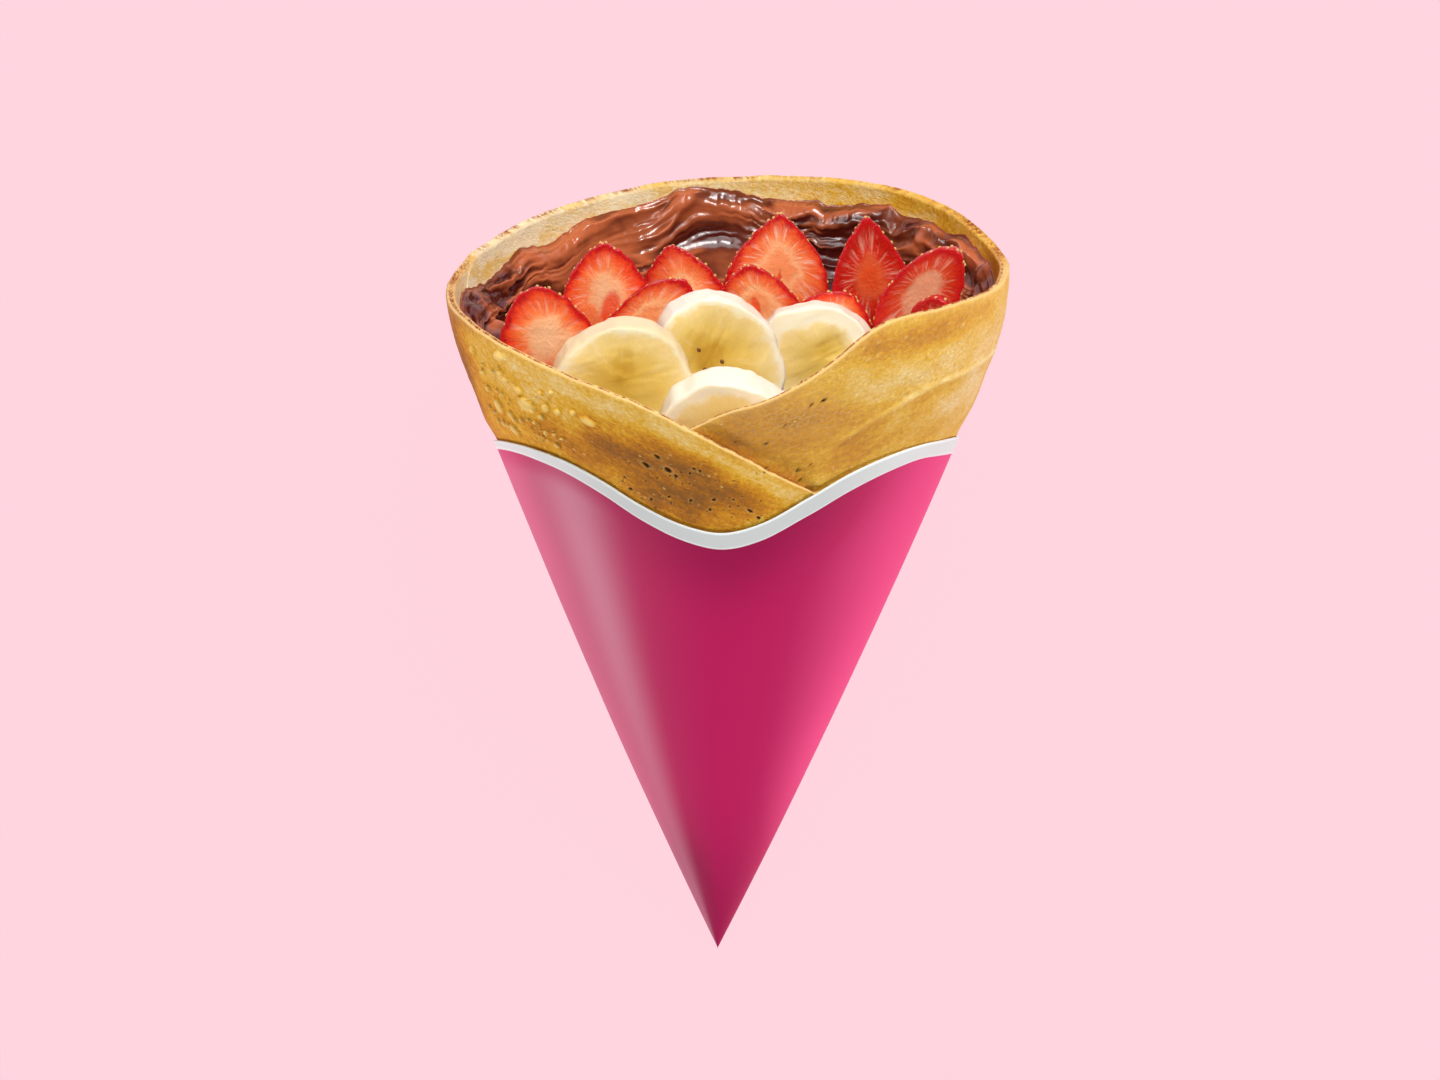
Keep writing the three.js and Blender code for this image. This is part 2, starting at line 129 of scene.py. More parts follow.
def through(stations: Stations, azimuth: Array) -> Array:
    """A smooth curve round the full turn through stations.

    Args:
        stations: Pairs of azimuth in degrees and value, in order.
        azimuth: Where the curve is wanted, in degrees.

    Returns:
        The curve's values.
    """
    knots = np.array([s[0] for s in stations], float)
    values = np.array([s[1] for s in stations], float)
    knots = np.concatenate([[knots[-1] - 360], knots, [knots[0] + 360, knots[1] + 360]])
    values = np.concatenate([[values[-1]], values, [values[0], values[1]]])
    slopes = (values[2:] - values[:-2]) / (knots[2:] - knots[:-2])
    turn = knots[1] + np.mod(azimuth - knots[1], 360.0)
    at = np.clip(np.searchsorted(knots, turn, side="right") - 1, 1, len(stations))
    span = knots[at + 1] - knots[at]
    t = (turn - knots[at]) / span
    straight = values[at] + (values[at + 1] - values[at]) * t * t * (3 - 2 * t)
    after = np.minimum(at, len(slopes) - 1)
    bend = t * (1 - t) * span
    return straight + bend * (slopes[at - 1] * (1 - t) - slopes[after] * t)


def cone_radius(height: Array) -> Array:
    """The cone's plain outside radius at a height."""
    curl = np.maximum(0.0, height - CURL_START)
    return TAPER * height - TAPER_LOSS * height**2 - CURL * curl**2


def above_table(radius: Array, azimuth: Array, height: Array, clearance: float) -> Array:
    """Flattens a radius where it would come closer to the table than the clearance."""
    tilt = math.radians(RESTING_TILT)
    down = -np.cos(np.radians(azimuth)) * math.cos(tilt)
    faces_down = down > 1e-6
    limit = (height * math.sin(tilt) - clearance) / np.where(faces_down, down, 1.0)
    return np.where(faces_down, np.minimum(radius, limit), radius)


def noise(points: Array, size: float | Sequence[float], seed: int, octaves: int = 1) -> Array:
    """Smooth value noise between about -1 and 1.

    Args:
        points: Points as rows of three coordinates, in millimetres.
        size: The size of a patch in millimetres, or one size for each axis.
        seed: Picks one of many patterns.
        octaves: How many finer layers are added, each half as strong.

    Returns:
        One value for each point.
    """
    total = np.zeros(points.shape[:-1])
    strength = 1.0
    scaled = points / np.asarray(size, float)
    for octave in range(octaves):
        cell = np.floor(scaled).astype(np.int64)
        t = scaled - cell
        t = t * t * t * (t * (t * 6 - 15) + 10)
        for corner in range(8):
            step = np.array([corner & 1, corner >> 1 & 1, corner >> 2 & 1])
            key = np.bitwise_xor.reduce((cell + step) * CELL_PRIMES, axis=-1)
            key = (key ^ (seed + octave) * SEED_PRIME) & HASH_MASK
            key = (key ^ (key >> 13)) * MIX_PRIME & HASH_MASK
            value = ((key ^ (key >> 16)) & 0xFFFF) / 32767.5 - 1.0
            total += strength * value * np.prod(np.where(step == 1, t, 1.0 - t), axis=-1)
        strength *= 0.5
        scaled = scaled * 2.03
    return total


def cone_points(azimuth: Array, radius: Array, height: Array) -> Array:
    """Points in the cone's frame as rows of (side, back, height)."""
    turn = np.radians(azimuth)
    return np.stack([radius * np.sin(turn), -radius * np.cos(turn), height], axis=-1)


def laid_down(points: Array) -> Array:
    """Points of the cone's frame, in millimetres, where they lie in the part, in metres."""
    tilt = math.radians(RESTING_TILT)
    side, back, height = points[..., 0], points[..., 1], points[..., 2]
    along = height * math.cos(tilt) + back * math.sin(tilt) - HALF_LENGTH
    up = height * math.sin(tilt) - back * math.cos(tilt)
    return np.stack([side, along, up], axis=-1) * MM


def skin_place(azimuth: Array, height: Array) -> Array:
    """Where a point lies on the unrolled skin: round the cone and up it, in millimetres."""
    around = np.radians(azimuth) * SKIN_RADIUS
    return np.stack([around, height, np.zeros_like(height)], axis=-1)


def unbroken(azimuth: Array) -> Array:
    """The same azimuths counted from -60 to 300, so that they run on across the back."""
    return np.mod(azimuth + 60.0, 360.0) - 60.0


def drawn_out(place: Array, angle: float, stretch: float) -> Array:
    """Places turned by an angle in degrees and drawn out along it."""
    c, s = math.cos(math.radians(angle)), math.sin(math.radians(angle))
    along = (place[..., 0] * c + place[..., 1] * s) / stretch
    across = -place[..., 0] * s + place[..., 1] * c
    return np.stack([along, across, place[..., 2]], axis=-1)


def band(x: Array, start: float, full: float, fading: float, end: float) -> Array:
    """Rises smoothly from start to full and falls back from fading to end."""
    return smooth(x, start, full) * (1 - smooth(x, fading, end))


def bell(x: Array, middle: float, reach: float) -> Array:
    """A bell curve, 1 in its middle."""
    return np.exp(-(((x - middle) / reach) ** 2))


def clouds(across: Array, up: Array, rows: Sequence[Cloud]) -> Array:
    """Soft patches added up.

    Args:
        across: Places across the skin.
        up: Places up or down it.
        rows: Each patch's strength, middle and reach.

    Returns:
        One value for each place.
    """
    total = np.zeros(np.broadcast(across, up).shape)
    for strength, x, y, wide, high in rows:
        total += strength * np.exp(-(((across - x) / wide) ** 2 + ((up - y) / high) ** 2))
    return total


def at_azimuths(table: Stations, azimuth: Array) -> Array:
    """A table's values at azimuths, straight between its rows."""
    return np.interp(azimuth, *zip(*table))


def sleeve_edge(azimuth: Array) -> Array:
    """Height of the sleeve's wavy top edge."""
    return through(SLEEVE_EDGE, azimuth)


def tuck(azimuth: Array, height: Array) -> Array:
    """How far the crepe stays inside the cone's outside, to leave room for the paper."""
    return PAPER_ROOM * (1 - smooth(height - sleeve_edge(azimuth), 0.3, SWELL_HEIGHT))


def sink(azimuth: Array, height: Array) -> Array:
    """How far the inner wrap lies below the outer one."""
    clear = np.maximum(0.0, height - through(FLAP, azimuth))
    return WRAP * band(azimuth, *COVERED) * np.exp(-clear / FLAP_SINK)


# ------------------------------------------------------------------------------- spots


@dataclass(frozen=True)
class Spot:
    """A small round or drawn-out spot on a surface: a blister, a pinhole or a hollow."""

    across: float
    up: float
    length: float
    width: float
    turn: float = 0.0

    def over(self, place: Array, grown: float = 1.0) -> Array:
        """How strongly the spot shows at places of the surface, from 0 to 1 in its middle."""
        x, y = place[..., 0] - self.across, place[..., 1] - self.up
        c, s = math.cos(math.radians(self.turn)), math.sin(math.radians(self.turn))
        along, beside = (x * c + y * s) / self.length, (y * c - x * s) / self.width
        return np.clip(1 - 4 * (along**2 + beside**2) / grown**2, 0, 1)


def strongest(spots: Sequence[Spot], place: Array, grown: float = 1.0) -> Array:
    """The strongest of many spots at each place."""
    most = np.zeros(place.shape[:-1])
    for spot in spots:
        np.maximum(most, spot.over(place, grown), out=most)
    return most


def skin_spots(*rows: tuple[float, ...]) -> tuple[Spot, ...]:
    """Spots of the crepe's skin from rows of azimuth, height, length, width and turn."""
    return tuple(Spot(math.radians(row[0]) * SKIN_RADIUS, *row[1:]) for row in rows)


def scattered(
    count: int, middle: tuple, reach: tuple, size: tuple, turn: float, seed: int
) -> tuple[Spot, ...]:
    """Spots strewn over a stretch of the crepe's skin.

    Args:
        count: How many.
        middle: Azimuth and height of the stretch's middle.
        reach: How far it goes in azimuth and in height to either side.
        size: Smallest and largest length, in millimetres.
        turn: How the spots are turned, in degrees.
        seed: Picks the places.

    Returns:
        The spots.
    """
    picks = np.random.default_rng(seed)
    rows = []
    for _ in range(count):
        azimuth = middle[0] + reach[0] * picks.uniform(-1, 1)
        height = middle[1] + reach[1] * picks.uniform(-1, 1)
        length = size[0] + (size[1] - size[0]) * picks.uniform() ** 2
        rows.append((azimuth, height, length, length * picks.uniform(0.6, 0.9), turn))
    return skin_spots(*rows)


# ------------------------------------------------------------------------- mesh making


def placed(name: str, data: bpy.types.ID) -> bpy.types.Object:
    """A new object in the scene."""
    thing = bpy.data.objects.new(name, data)
    bpy.context.scene.collection.objects.link(thing)
    return thing


def flattened(fields: dict[str, Array]) -> dict[str, Array]:
    """The fields of a grid as fields of its points in one row."""
    return {key: value.reshape(-1, *value.shape[2:]) for key, value in fields.items()}


@dataclass
class MeshDraft:
    """A mesh in the making: points in the cone's frame, quads and triangles, fields."""

    points: list[Array] = field(default_factory=list)
    quads: list[Array] = field(default_factory=list)
    triangles: list[Array] = field(default_factory=list)
    quad_slots: list[Array] = field(default_factory=list)
    triangle_slots: list[Array] = field(default_factory=list)
    fields: list[dict[str, Array]] = field(default_factory=list)
    count: int = 0

    def add(
        self,
        points: Array,
        quads: Array,
        triangles: Array,
        fields: dict[str, Array],
        slot: int = 0,
    ) -> None:
        """Adds one closed body.

        Args:
            points: Its points, in millimetres.
            quads: Rows of four point numbers.
            triangles: Rows of three point numbers.
            fields: Named values, one or three for each point. Points that a field
                leaves out, at its end, get its last value.
            slot: Which of the piece's materials it has.
        """
        self.points.append(points)
        self.quads.append(quads.reshape(-1, 4) + self.count)
        self.triangles.append(triangles.reshape(-1, 3) + self.count)
        self.quad_slots.append(np.full(len(quads), slot))
        self.triangle_slots.append(np.full(len(triangles), slot))
        short = {key: len(points) - len(value) for key, value in fields.items()}
        self.fields.append({
            key: np.concatenate([value, np.repeat(value[-1:], short[key], axis=0)])
            for key, value in fields.items()
        })
        self.count += len(points)

    def add_tube(self, grid: Array, hubs: Array, fields: dict[str, Array]) -> None:
        """Adds one closed body made of rings, with a hub in each end.

        Args:
            grid: Its rings of points, one to a row.
            hubs: The points in the middle of the first and the last ring.
            fields: Its fields as grids of the same rows and columns.
        """
        rows, columns = grid.shape[:2]
        count = rows * columns
        ring = np.arange(columns)
        ends = [fan(ring, count, True), fan(ring + count - columns, count + 1, False)]
        points = np.concatenate([grid.reshape(-1, 3), hubs])
        quads = grid_quads(rows, columns, False, True)
        self.add(points, quads, np.concatenate(ends), flattened(fields))

    def build(self, name: str, materials: list[bpy.types.Material]) -> bpy.types.Object:
        """Makes the Blender object.

        Args:
            name: The piece's name.
            materials: Its materials, by slot.

        Returns:
            The new object, with smooth shading.
        """
        points = laid_down(np.concatenate(self.points))
        quads = np.concatenate(self.quads)
        triangles = np.concatenate(self.triangles)
        mesh = bpy.data.meshes.new(name)
        mesh.vertices.add(len(points))
        mesh.vertices.foreach_set("co", points.astype(np.float32).ravel())
        corners = np.concatenate([quads.ravel(), triangles.ravel()])
        mesh.loops.add(len(corners))
        mesh.loops.foreach_set("vertex_index", corners.astype(np.int32))
        sizes = np.concatenate([np.full(len(quads), 4), np.full(len(triangles), 3)])
        mesh.polygons.add(len(sizes))
        starts = np.concatenate([[0], np.cumsum(sizes)[:-1]])
        mesh.polygons.foreach_set("loop_start", starts.astype(np.int32))
        slots = np.concatenate(self.quad_slots + self.triangle_slots)
        mesh.polygons.foreach_set("material_index", slots.astype(np.int32))
        mesh.polygons.foreach_set("use_smooth", np.ones(len(sizes), bool))
        for material in materials:
            mesh.materials.append(material)
        mesh.update(calc_edges=True)
        mesh.validate()
        for key in sorted({key for part in self.fields for key in part}):
            self._write_field(mesh, key)
        return placed(name, mesh)

    def _write_field(self, mesh: bpy.types.Mesh, key: str) -> None:
        """Writes one named field as a point attribute."""
        three = any(np.ndim(part[key]) == 2 for part in self.fields if key in part)
        columns = [
            part.get(key, np.zeros((len(points), 3) if three else len(points)))
            for part, points in zip(self.fields, self.points)
        ]
        values = np.concatenate(columns).astype(np.float32)
        attribute = mesh.attributes.new(key, "FLOAT_VECTOR" if three else "FLOAT", "POINT")
        attribute.data.foreach_set("vector" if three else "value", values.ravel())


def grid_quads(rows: int, columns: int, round_rows: bool, round_columns: bool) -> Array:
    """Quads of a grid of points, which may be joined round in either direction."""
    last_row = rows if round_rows else rows - 1
    last_column = columns if round_columns else columns - 1
    i, j = np.meshgrid(np.arange(last_row), np.arange(last_column), indexing="ij")
    up, right = (i + 1) % rows, (j + 1) % columns
    corner = [i * columns + j, i * columns + right, up * columns + right, up * columns + j]
    return np.stack(corner, axis=-1).reshape(-1, 4)


def fan(ring: Array, hub: int, flip: bool) -> Array:
    """Triangles from a ring of points to a hub."""
    after = np.roll(ring, -1)
    hubs = np.full(len(ring), hub)
    return np.stack([ring, hubs, after] if flip else [ring, after, hubs], axis=-1)


def grid_normals(grid: Array) -> Array:
    """Unit normals of a grid that is joined round its columns, where its quads face."""
    along = np.gradient(grid, axis=0)
    across = np.roll(grid, -1, axis=1) - np.roll(grid, 1, axis=1)
    normal = np.cross(across, along)
    return normal / np.maximum(np.linalg.norm(normal, axis=-1, keepdims=True), 1e-9)


def ellipsoid(centre: Array, axes: Array, rings: int = 6, columns: int = 10) -> tuple:
    """A small ellipsoid.

    Args:
        centre: Its centre.
        axes: Its three half axes as rows.
        rings: Rings between the poles.
        columns: Points in each ring.

    Returns:
        Points, quads and triangles.
    """
    polar = np.pi * np.arange(1, rings + 1) / (rings + 1)
    turn = 2 * np.pi * np.arange(columns) / columns
    p, t = np.meshgrid(polar, turn, indexing="ij")
    unit = np.stack([np.sin(p) * np.cos(t), np.sin(p) * np.sin(t), np.cos(p)], axis=-1)
    unit = np.concatenate([unit.reshape(-1, 3), [[0, 0, 1], [0, 0, -1]]])
    quads = grid_quads(rings, columns, False, True)[:, ::-1]
    top = fan(np.arange(columns), rings * columns, False)
    low = fan(np.arange(columns) + (rings - 1) * columns, rings * columns + 1, True)
    return centre + unit @ axes, quads, np.concatenate([top, low])


def settle(piece: bpy.types.Object, node: str, slot: str) -> bpy.types.Object:
    """Sets a piece for the CAD node that it replaces."""
    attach(piece, "root")
    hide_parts(node)
    return piece


# ---------------------------------------------------------------------------- finishes


def linear(colour: str) -> tuple[float, float, float, float]:
    """An sRGB hex colour as linear red, green, blue and alpha."""
    shares = [int(colour[i : i + 2], 16) / 255 for i in (1, 3, 5)]
    bent = [s / 12.92 if s <= 0.04045 else ((s + 0.055) / 1.055) ** 2.4 for s in shares]
    return (bent[0], bent[1], bent[2], 1.0)


def noise_links(where: Socket | str, grain: Grain) -> dict[str, object]:
    """The inputs of a noise texture of a grain, laid out over a field."""
    return {"Vector": where, "Scale": 1 / grain[0], "Detail": grain[1], "Roughness": grain[2]}


@dataclass
class Bench:
    """A material in the making."""

    name: str

    def __post_init__(self) -> None:
        """Starts an empty material."""
        self.material = bpy.data.materials.new(self.name)
        self.material.use_nodes = True
        self.tree = self.material.node_tree
        self.tree.nodes.clear()

    def node(
        self,
        kind: str,
        links: dict[str | int, object] | Sequence[object] = (),
        out: str | int | None = 0,
        stops: Sequence[tuple[float, str]] = (),
        **settings: object,
    ) -> Socket | None:
        """Adds one shader node with its settings and links.

        Args:
            kind: The node's type without the leading ShaderNode.
            links: What each input gets: a socket, a hex colour, a plain value or the name
                of one of the mesh's fields.
            out: Which output is wanted, or None for a node without one.
            stops: Positions and hex colours, for a colour ramp.
            settings: The node's own settings.

        Returns:
            The wanted output, if any.
        """
        node = self.tree.nodes.new("ShaderNode" + kind)
        for key, value in settings.items():
            setattr(node, key, value)
        for key, value in (links if isinstance(links, dict) else dict(enumerate(links))).items():
            target = node.inputs[key]
            if isinstance(value, str) and not value.startswith("#"):
                form = "Vector" if target.type == "VECTOR" else "Fac"
                value = self.node("Attribute", out=form, attribute_name=value)
            if isinstance(value, Socket):
                self.tree.links.new(value, target)
            else:
                target.default_value = linear(value) if isinstance(value, str) else value
        for index, (place, colour) in enumerate(stops):
            elements = node.color_ramp.elements
            element = elements[index] if index < len(elements) else elements.new(place)
            element.position = place
            element.color = linear(colour)
        return None if out is None else node.outputs[out]

    def each(self, kind: str, rows: Sequence[object], **settings: object) -> list[Socket]:
        """Adds one node of a kind for each row of links."""
        return [self.node(kind, row, **settings) for row in rows]

    def dressed(self, inputs: dict[str, object]) -> bpy.types.Material:
        """Closes the material with a principled surface that has these inputs."""
        surface = self.node("BsdfPrincipled", inputs)
        self.node("OutputMaterial", {"Surface": surface}, out=None)
        return self.material


@dataclass(frozen=True)
class BakedBatter:
    """Crepe batter baked on a hot plate.

    The eye gets a matte, slightly buttery skin: pale where it was folded in, golden with
    brown clouds outside, with pale blisters, dark pinholes and toasted specks.
    """

    name: str = "batter_baked_freckled"
    pale: str = "#FFEFC4"
    cream: str = "#F5D488"
    yellow: str = "#ECB834"
    gold: str = "#D8921A"
    tan: str = "#B4701A"
    brown: str = "#8A5A24"
    toasted: str = "#9C4A18"
    lip: str = "#F6D590"
    blister: str = "#FADC84"
    dusting: str = "#E4BE7A"
    hole: str = "#5A3A18"
    cloud: Grain = (7.0, 4.0, 0.6)
    mottle: Grain = (1.1, 4.0, 0.7)
    grain: Grain = (0.6, 2.0, 0.6)
    freckle: Grain = (1.5, 3.0, 0.7)
    bead_mm: float = 1.7

    def build(self) -> bpy.types.Material:
        """Makes the material.

        Returns:
            The material, which reads the fields flow, tone, dusty, lip, toast, dome and pit.
        """
        bench = Bench(self.name)
        node, each = bench.node, bench.each
        grains = (self.cloud, self.mottle, self.grain, self.freckle)
        cloud, mottle, grain, freckle = each("TexNoise", [noise_links("flow", g) for g in grains])
        bead = node("TexVoronoi", {"Vector": "flow", "Scale": 1 / self.bead_mm, "Randomness": 1.0})
        # The tone field holds the browning and also painted light and shade: the crease, the
        # inside, the blisters' rings and the left outline.
        shade = "tone"
        for pattern, weight in ((cloud, 0.6), (mottle, 0.6), (grain, 0.5)):
            shade = node("Math", (pattern, weight, shade), operation="MULTIPLY_ADD")
        shade = node("Math", (shade, 0.85), operation="SUBTRACT")
        tints = (self.pale, self.cream, self.yellow, self.gold, self.tan, self.brown)
        colour = node("ValToRGB", (shade,), stops=[(i / 5, tint) for i, tint in enumerate(tints)])
        dusted, specks, baked, bead, strewn, patchy = each("MapRange", (
            (grain, 0.36, 0.66, 0.15, 1.0), (freckle, 0.62, 0.70, 0.0, 0.5),
            ("tone", 0.2, 0.45, 0.0, 1.0), (bead, 0.22, 0.10, 0.0, 0.6),
            (cloud, 0.5, 0.62, 0.0, 1.0), (mottle, 0.36, 0.6, 0.0, 1.0),
        ), interpolation_type="SMOOTHSTEP")
        dusted, specks, strewn, risen, scorched = each("Math", (
            (dusted, "dusty"), (specks, baked), (strewn, baked), ("dome", 0.8), ("toast", patchy),
        ), operation="MULTIPLY")
        bead = node("Math", (bead, strewn), operation="MULTIPLY")
        layers = (
            (dusted, self.dusting), (specks, self.tan), (bead, self.blister),
            (risen, self.blister), ("lip", self.lip), (scorched, self.toasted), ("pit", self.hole),
        )
        for share, tint in layers:
            colour = node("Mix", {0: share, 6: colour, 7: tint}, out=2, data_type="RGBA")
        relief = node("Math", (grain, 0.6, mottle), operation="MULTIPLY_ADD")
        relief = node("Math", (bead, 0.5, relief), operation="MULTIPLY_ADD")
        return bench.dressed({
            "Base Color": colour,
            "Normal": node("Bump", {"Height": relief, "Strength": 0.8, "Distance": 0.4 * MM}),
            "Roughness": node("MapRange", (mottle, 0.2, 0.8, 0.55, 0.8)),
            "Specular IOR Level": 0.12,
            "Subsurface Weight": 0.08,
            "Subsurface Radius": (1.0, 0.6, 0.25),
            "Subsurface Scale": 1.2 * MM,
        })


@dataclass(frozen=True)
class CoatedPaper:
    """Printed sleeve paper with a satin coat.

    The eye gets a deep print with painted shade under its edge and at the tip, painted light
    where the side lights reach and a painted sheen on the left, and a plain border with
    painted highlights on its edges and sides.
    """

    name: str = "paper_satin_coated"
    ink: str = "#C61A60"
    shaded_ink: str = "#A4124E"
    lit_ink: str = "#F8488C"
    sheen: str = "#F2C3D3"
    border: str = "#DAE2E0"
    border_highlight: str = "#F4FCFA"
    fibre: Grain = (1.0, 3.0, 0.6)

    def build(self) -> bpy.types.Material:
        """Makes the material.

        Returns:
            The material, which reads the fields flow, past, rib, ink and glow.
        """
        bench = Bench(self.name)
        node = bench.node
        fibre = node("TexNoise", noise_links("flow", self.fibre))
        # The ink runs from painted shade through the print's own colour to painted light.
        inks = ((0.0, self.shaded_ink), (0.5, self.ink), (1.0, self.lit_ink))
        ink = node("ValToRGB", ("ink",), stops=inks)
        printed = node("MapRange", ("past", -0.1, 0.1, 0.0, 1.0))
        # The painted sheen pales the ink as a painted highlight, and painted highlights pale the
        # border.
        ink, border = bench.each("Mix", (
            {0: "glow", 6: ink, 7: self.sheen}, {0: "rib", 6: self.border, 7: self.border_highlight},
        ), out=2, data_type="RGBA")
        return bench.dressed({
            "Base Color": node("Mix", {0: printed, 6: border, 7: ink}, out=2, data_type="RGBA"),
            "Normal": node("Bump", {"Height": fibre, "Strength": 0.05, "Distance": 0.1 * MM}),
            "Roughness": 0.55,
            "Specular IOR Level": 0.12,
        })


@dataclass(frozen=True)
class HazelnutSpread:
    """Chocolate hazelnut spread smeared with a spoon: oily gloss over a warm red brown, with
    painted light on its crests, painted shade in its troughs and painted sheen in its pools.
    """

    name: str = "chocolate_spread_smeared"
    light: str = "#C66A40"
    dark: str = "#4A1008"
    thin: str = "#A85C34"
    swirl: Grain = (8.0, 3.0, 0.55)
    comb: Grain = (1.0, 3.0, 0.6)

    def build(self) -> bpy.types.Material:
        """Makes the material.

        Returns:
            The material, which reads the fields flow, strokes, combed, crest, thin and milky.
        """
        bench = Bench(self.name)
        node = bench.node
        swirl = node("TexNoise", noise_links("flow", self.swirl))
        comb = node("TexNoise", noise_links("strokes", self.comb))
        # The crests get the light brown as painted light and the troughs the dark brown as painted
        # shade, with painted sheen and shade added on top.
        lit = "crest"
        for pattern, weight in ((swirl, 1.1), (comb, 0.2), ("milky", 1.0)):
            lit = node("Math", (pattern, weight, lit), operation="MULTIPLY_ADD")
        lit = node("MapRange", (lit, 0.66, 1.46, 0.0, 1.0), interpolation_type="SMOOTHSTEP")
        colour = self.dark
        for share, tint in ((lit, self.light), ("thin", self.thin)):
            colour = node("Mix", {0: share, 6: colour, 7: tint}, out=2, data_type="RGBA")
        height = node("Math", (comb, "combed"), operation="MULTIPLY")
        return bench.dressed({
            "Base Color": colour,
            "Normal": node("Bump", {"Height": height, "Strength": 0.5, "Distance": 0.35 * MM}),
            "Roughness": 0.26,
            "IOR": 1.47,
            "Coat Weight": 0.3,
            "Coat Roughness": 0.05,
        })


class Ripeness(Enum):
    """Colours of a cut strawberry: heart, halo round the heart, flesh, flesh at the rim."""

    PALE = ("#FFC898", "#FFB884", "#FF8648", "#F04624")
    BRIGHT = ("#F89C64", "#FFBC86", "#FA8A4C", "#EA5028")
    ROSY = ("#E69C78", "#E4A07C", "#DA4C2A", "#CE2618")
    DEEP = ("#DE5024", "#DA5C32", "#CC2A12", "#BA140C")


@dataclass(frozen=True)
class StrawberryFlesh:
    """Wet cut strawberry.

    The eye gets a pale heart, fine white veins that run out to the seeds, flesh that
    reddens outwards and a thin dark red skin with a wet gloss.
    """

    name: str
    ripeness: Ripeness
    heart: float
    halo: float
    veins: float
    rim: str = "#C5141C"
    skin: str = "#B80F18"
    skin_light: str = "#DA2A26"
    vein: str = "#FFD8BC"
    hollow: str = "#F0441E"
    cloud: Grain = (4.5, 4.0, 0.6)
    grain: Grain = (0.8, 2.0, 0.6)
    streak: Grain = (1.0, 2.5, 0.6)
    vein_counts: Vec3 = (8.5, 8.5, 1.6)

    def build(self) -> bpy.types.Material:
        """Makes the material.

        Returns:
            The material, which reads the fields rho, rays, place, side and hollow.
        """
        bench = Bench(self.name)
        node, each = bench.node, bench.each
        spokes = node("VectorMath", ("rays", self.vein_counts), operation="MULTIPLY")
        patterns = (("place", self.cloud), ("place", self.grain), (spokes, self.streak))
        cloud, grain, streak = each("TexNoise", [noise_links(*pattern) for pattern in patterns])
        shifted = "rho"
        for pattern, weight in ((cloud, 0.5), (streak, 0.34)):
            shifted = node("Math", (pattern, weight, shifted), operation="MULTIPLY_ADD")
        shifted = node("Math", (shifted, 0.42), operation="SUBTRACT")
        heart, halo, flesh, outer = self.ripeness.value
        stops = (
            (0.0, heart), (self.heart, heart), (self.halo, halo),
            (0.5 * self.halo + 0.34, flesh), (0.84, outer), (0.98, self.rim),
        )
        colour = node("ValToRGB", (shifted,), stops=stops)
        thread, start, end, rim = each("MapRange", (
            (streak, 0.48, 0.70, 0.0, 1.0), ("rho", 0.28, 0.55, 0.0, 1.0),
            ("rho", 0.92, 0.66, 0.0, 0.7 * self.veins), ("rho", 0.95, 0.995, 0.0, 1.0),
        ), interpolation_type="SMOOTHSTEP")
        for share in (start, end):
            thread = node("Math", (thread, share), operation="MULTIPLY")
        skin = node("Mix", {0: cloud, 6: self.skin, 7: self.skin_light}, out=2, data_type="RGBA")
        layers = ((thread, self.vein), ("hollow", self.hollow), (rim, self.rim), ("side", skin))
        for share, tint in layers:
            colour = node("Mix", {0: share, 6: colour, 7: tint}, out=2, data_type="RGBA")
        relief = node("Math", (thread, 0.5, grain), operation="MULTIPLY_ADD")
        relief = node("Math", (cloud, 0.8, relief), operation="MULTIPLY_ADD")
        return bench.dressed({
            "Base Color": colour,
            "Normal": node("Bump", {"Height": relief, "Strength": 0.55, "Distance": 0.4 * MM}),
            "Roughness": 0.22,
            "Specular IOR Level": 0.3,
            "Subsurface Weight": 0.15,
            "Subsurface Radius": (1.0, 0.4, 0.2),
            "Subsurface Scale": 1.2 * MM,
        })


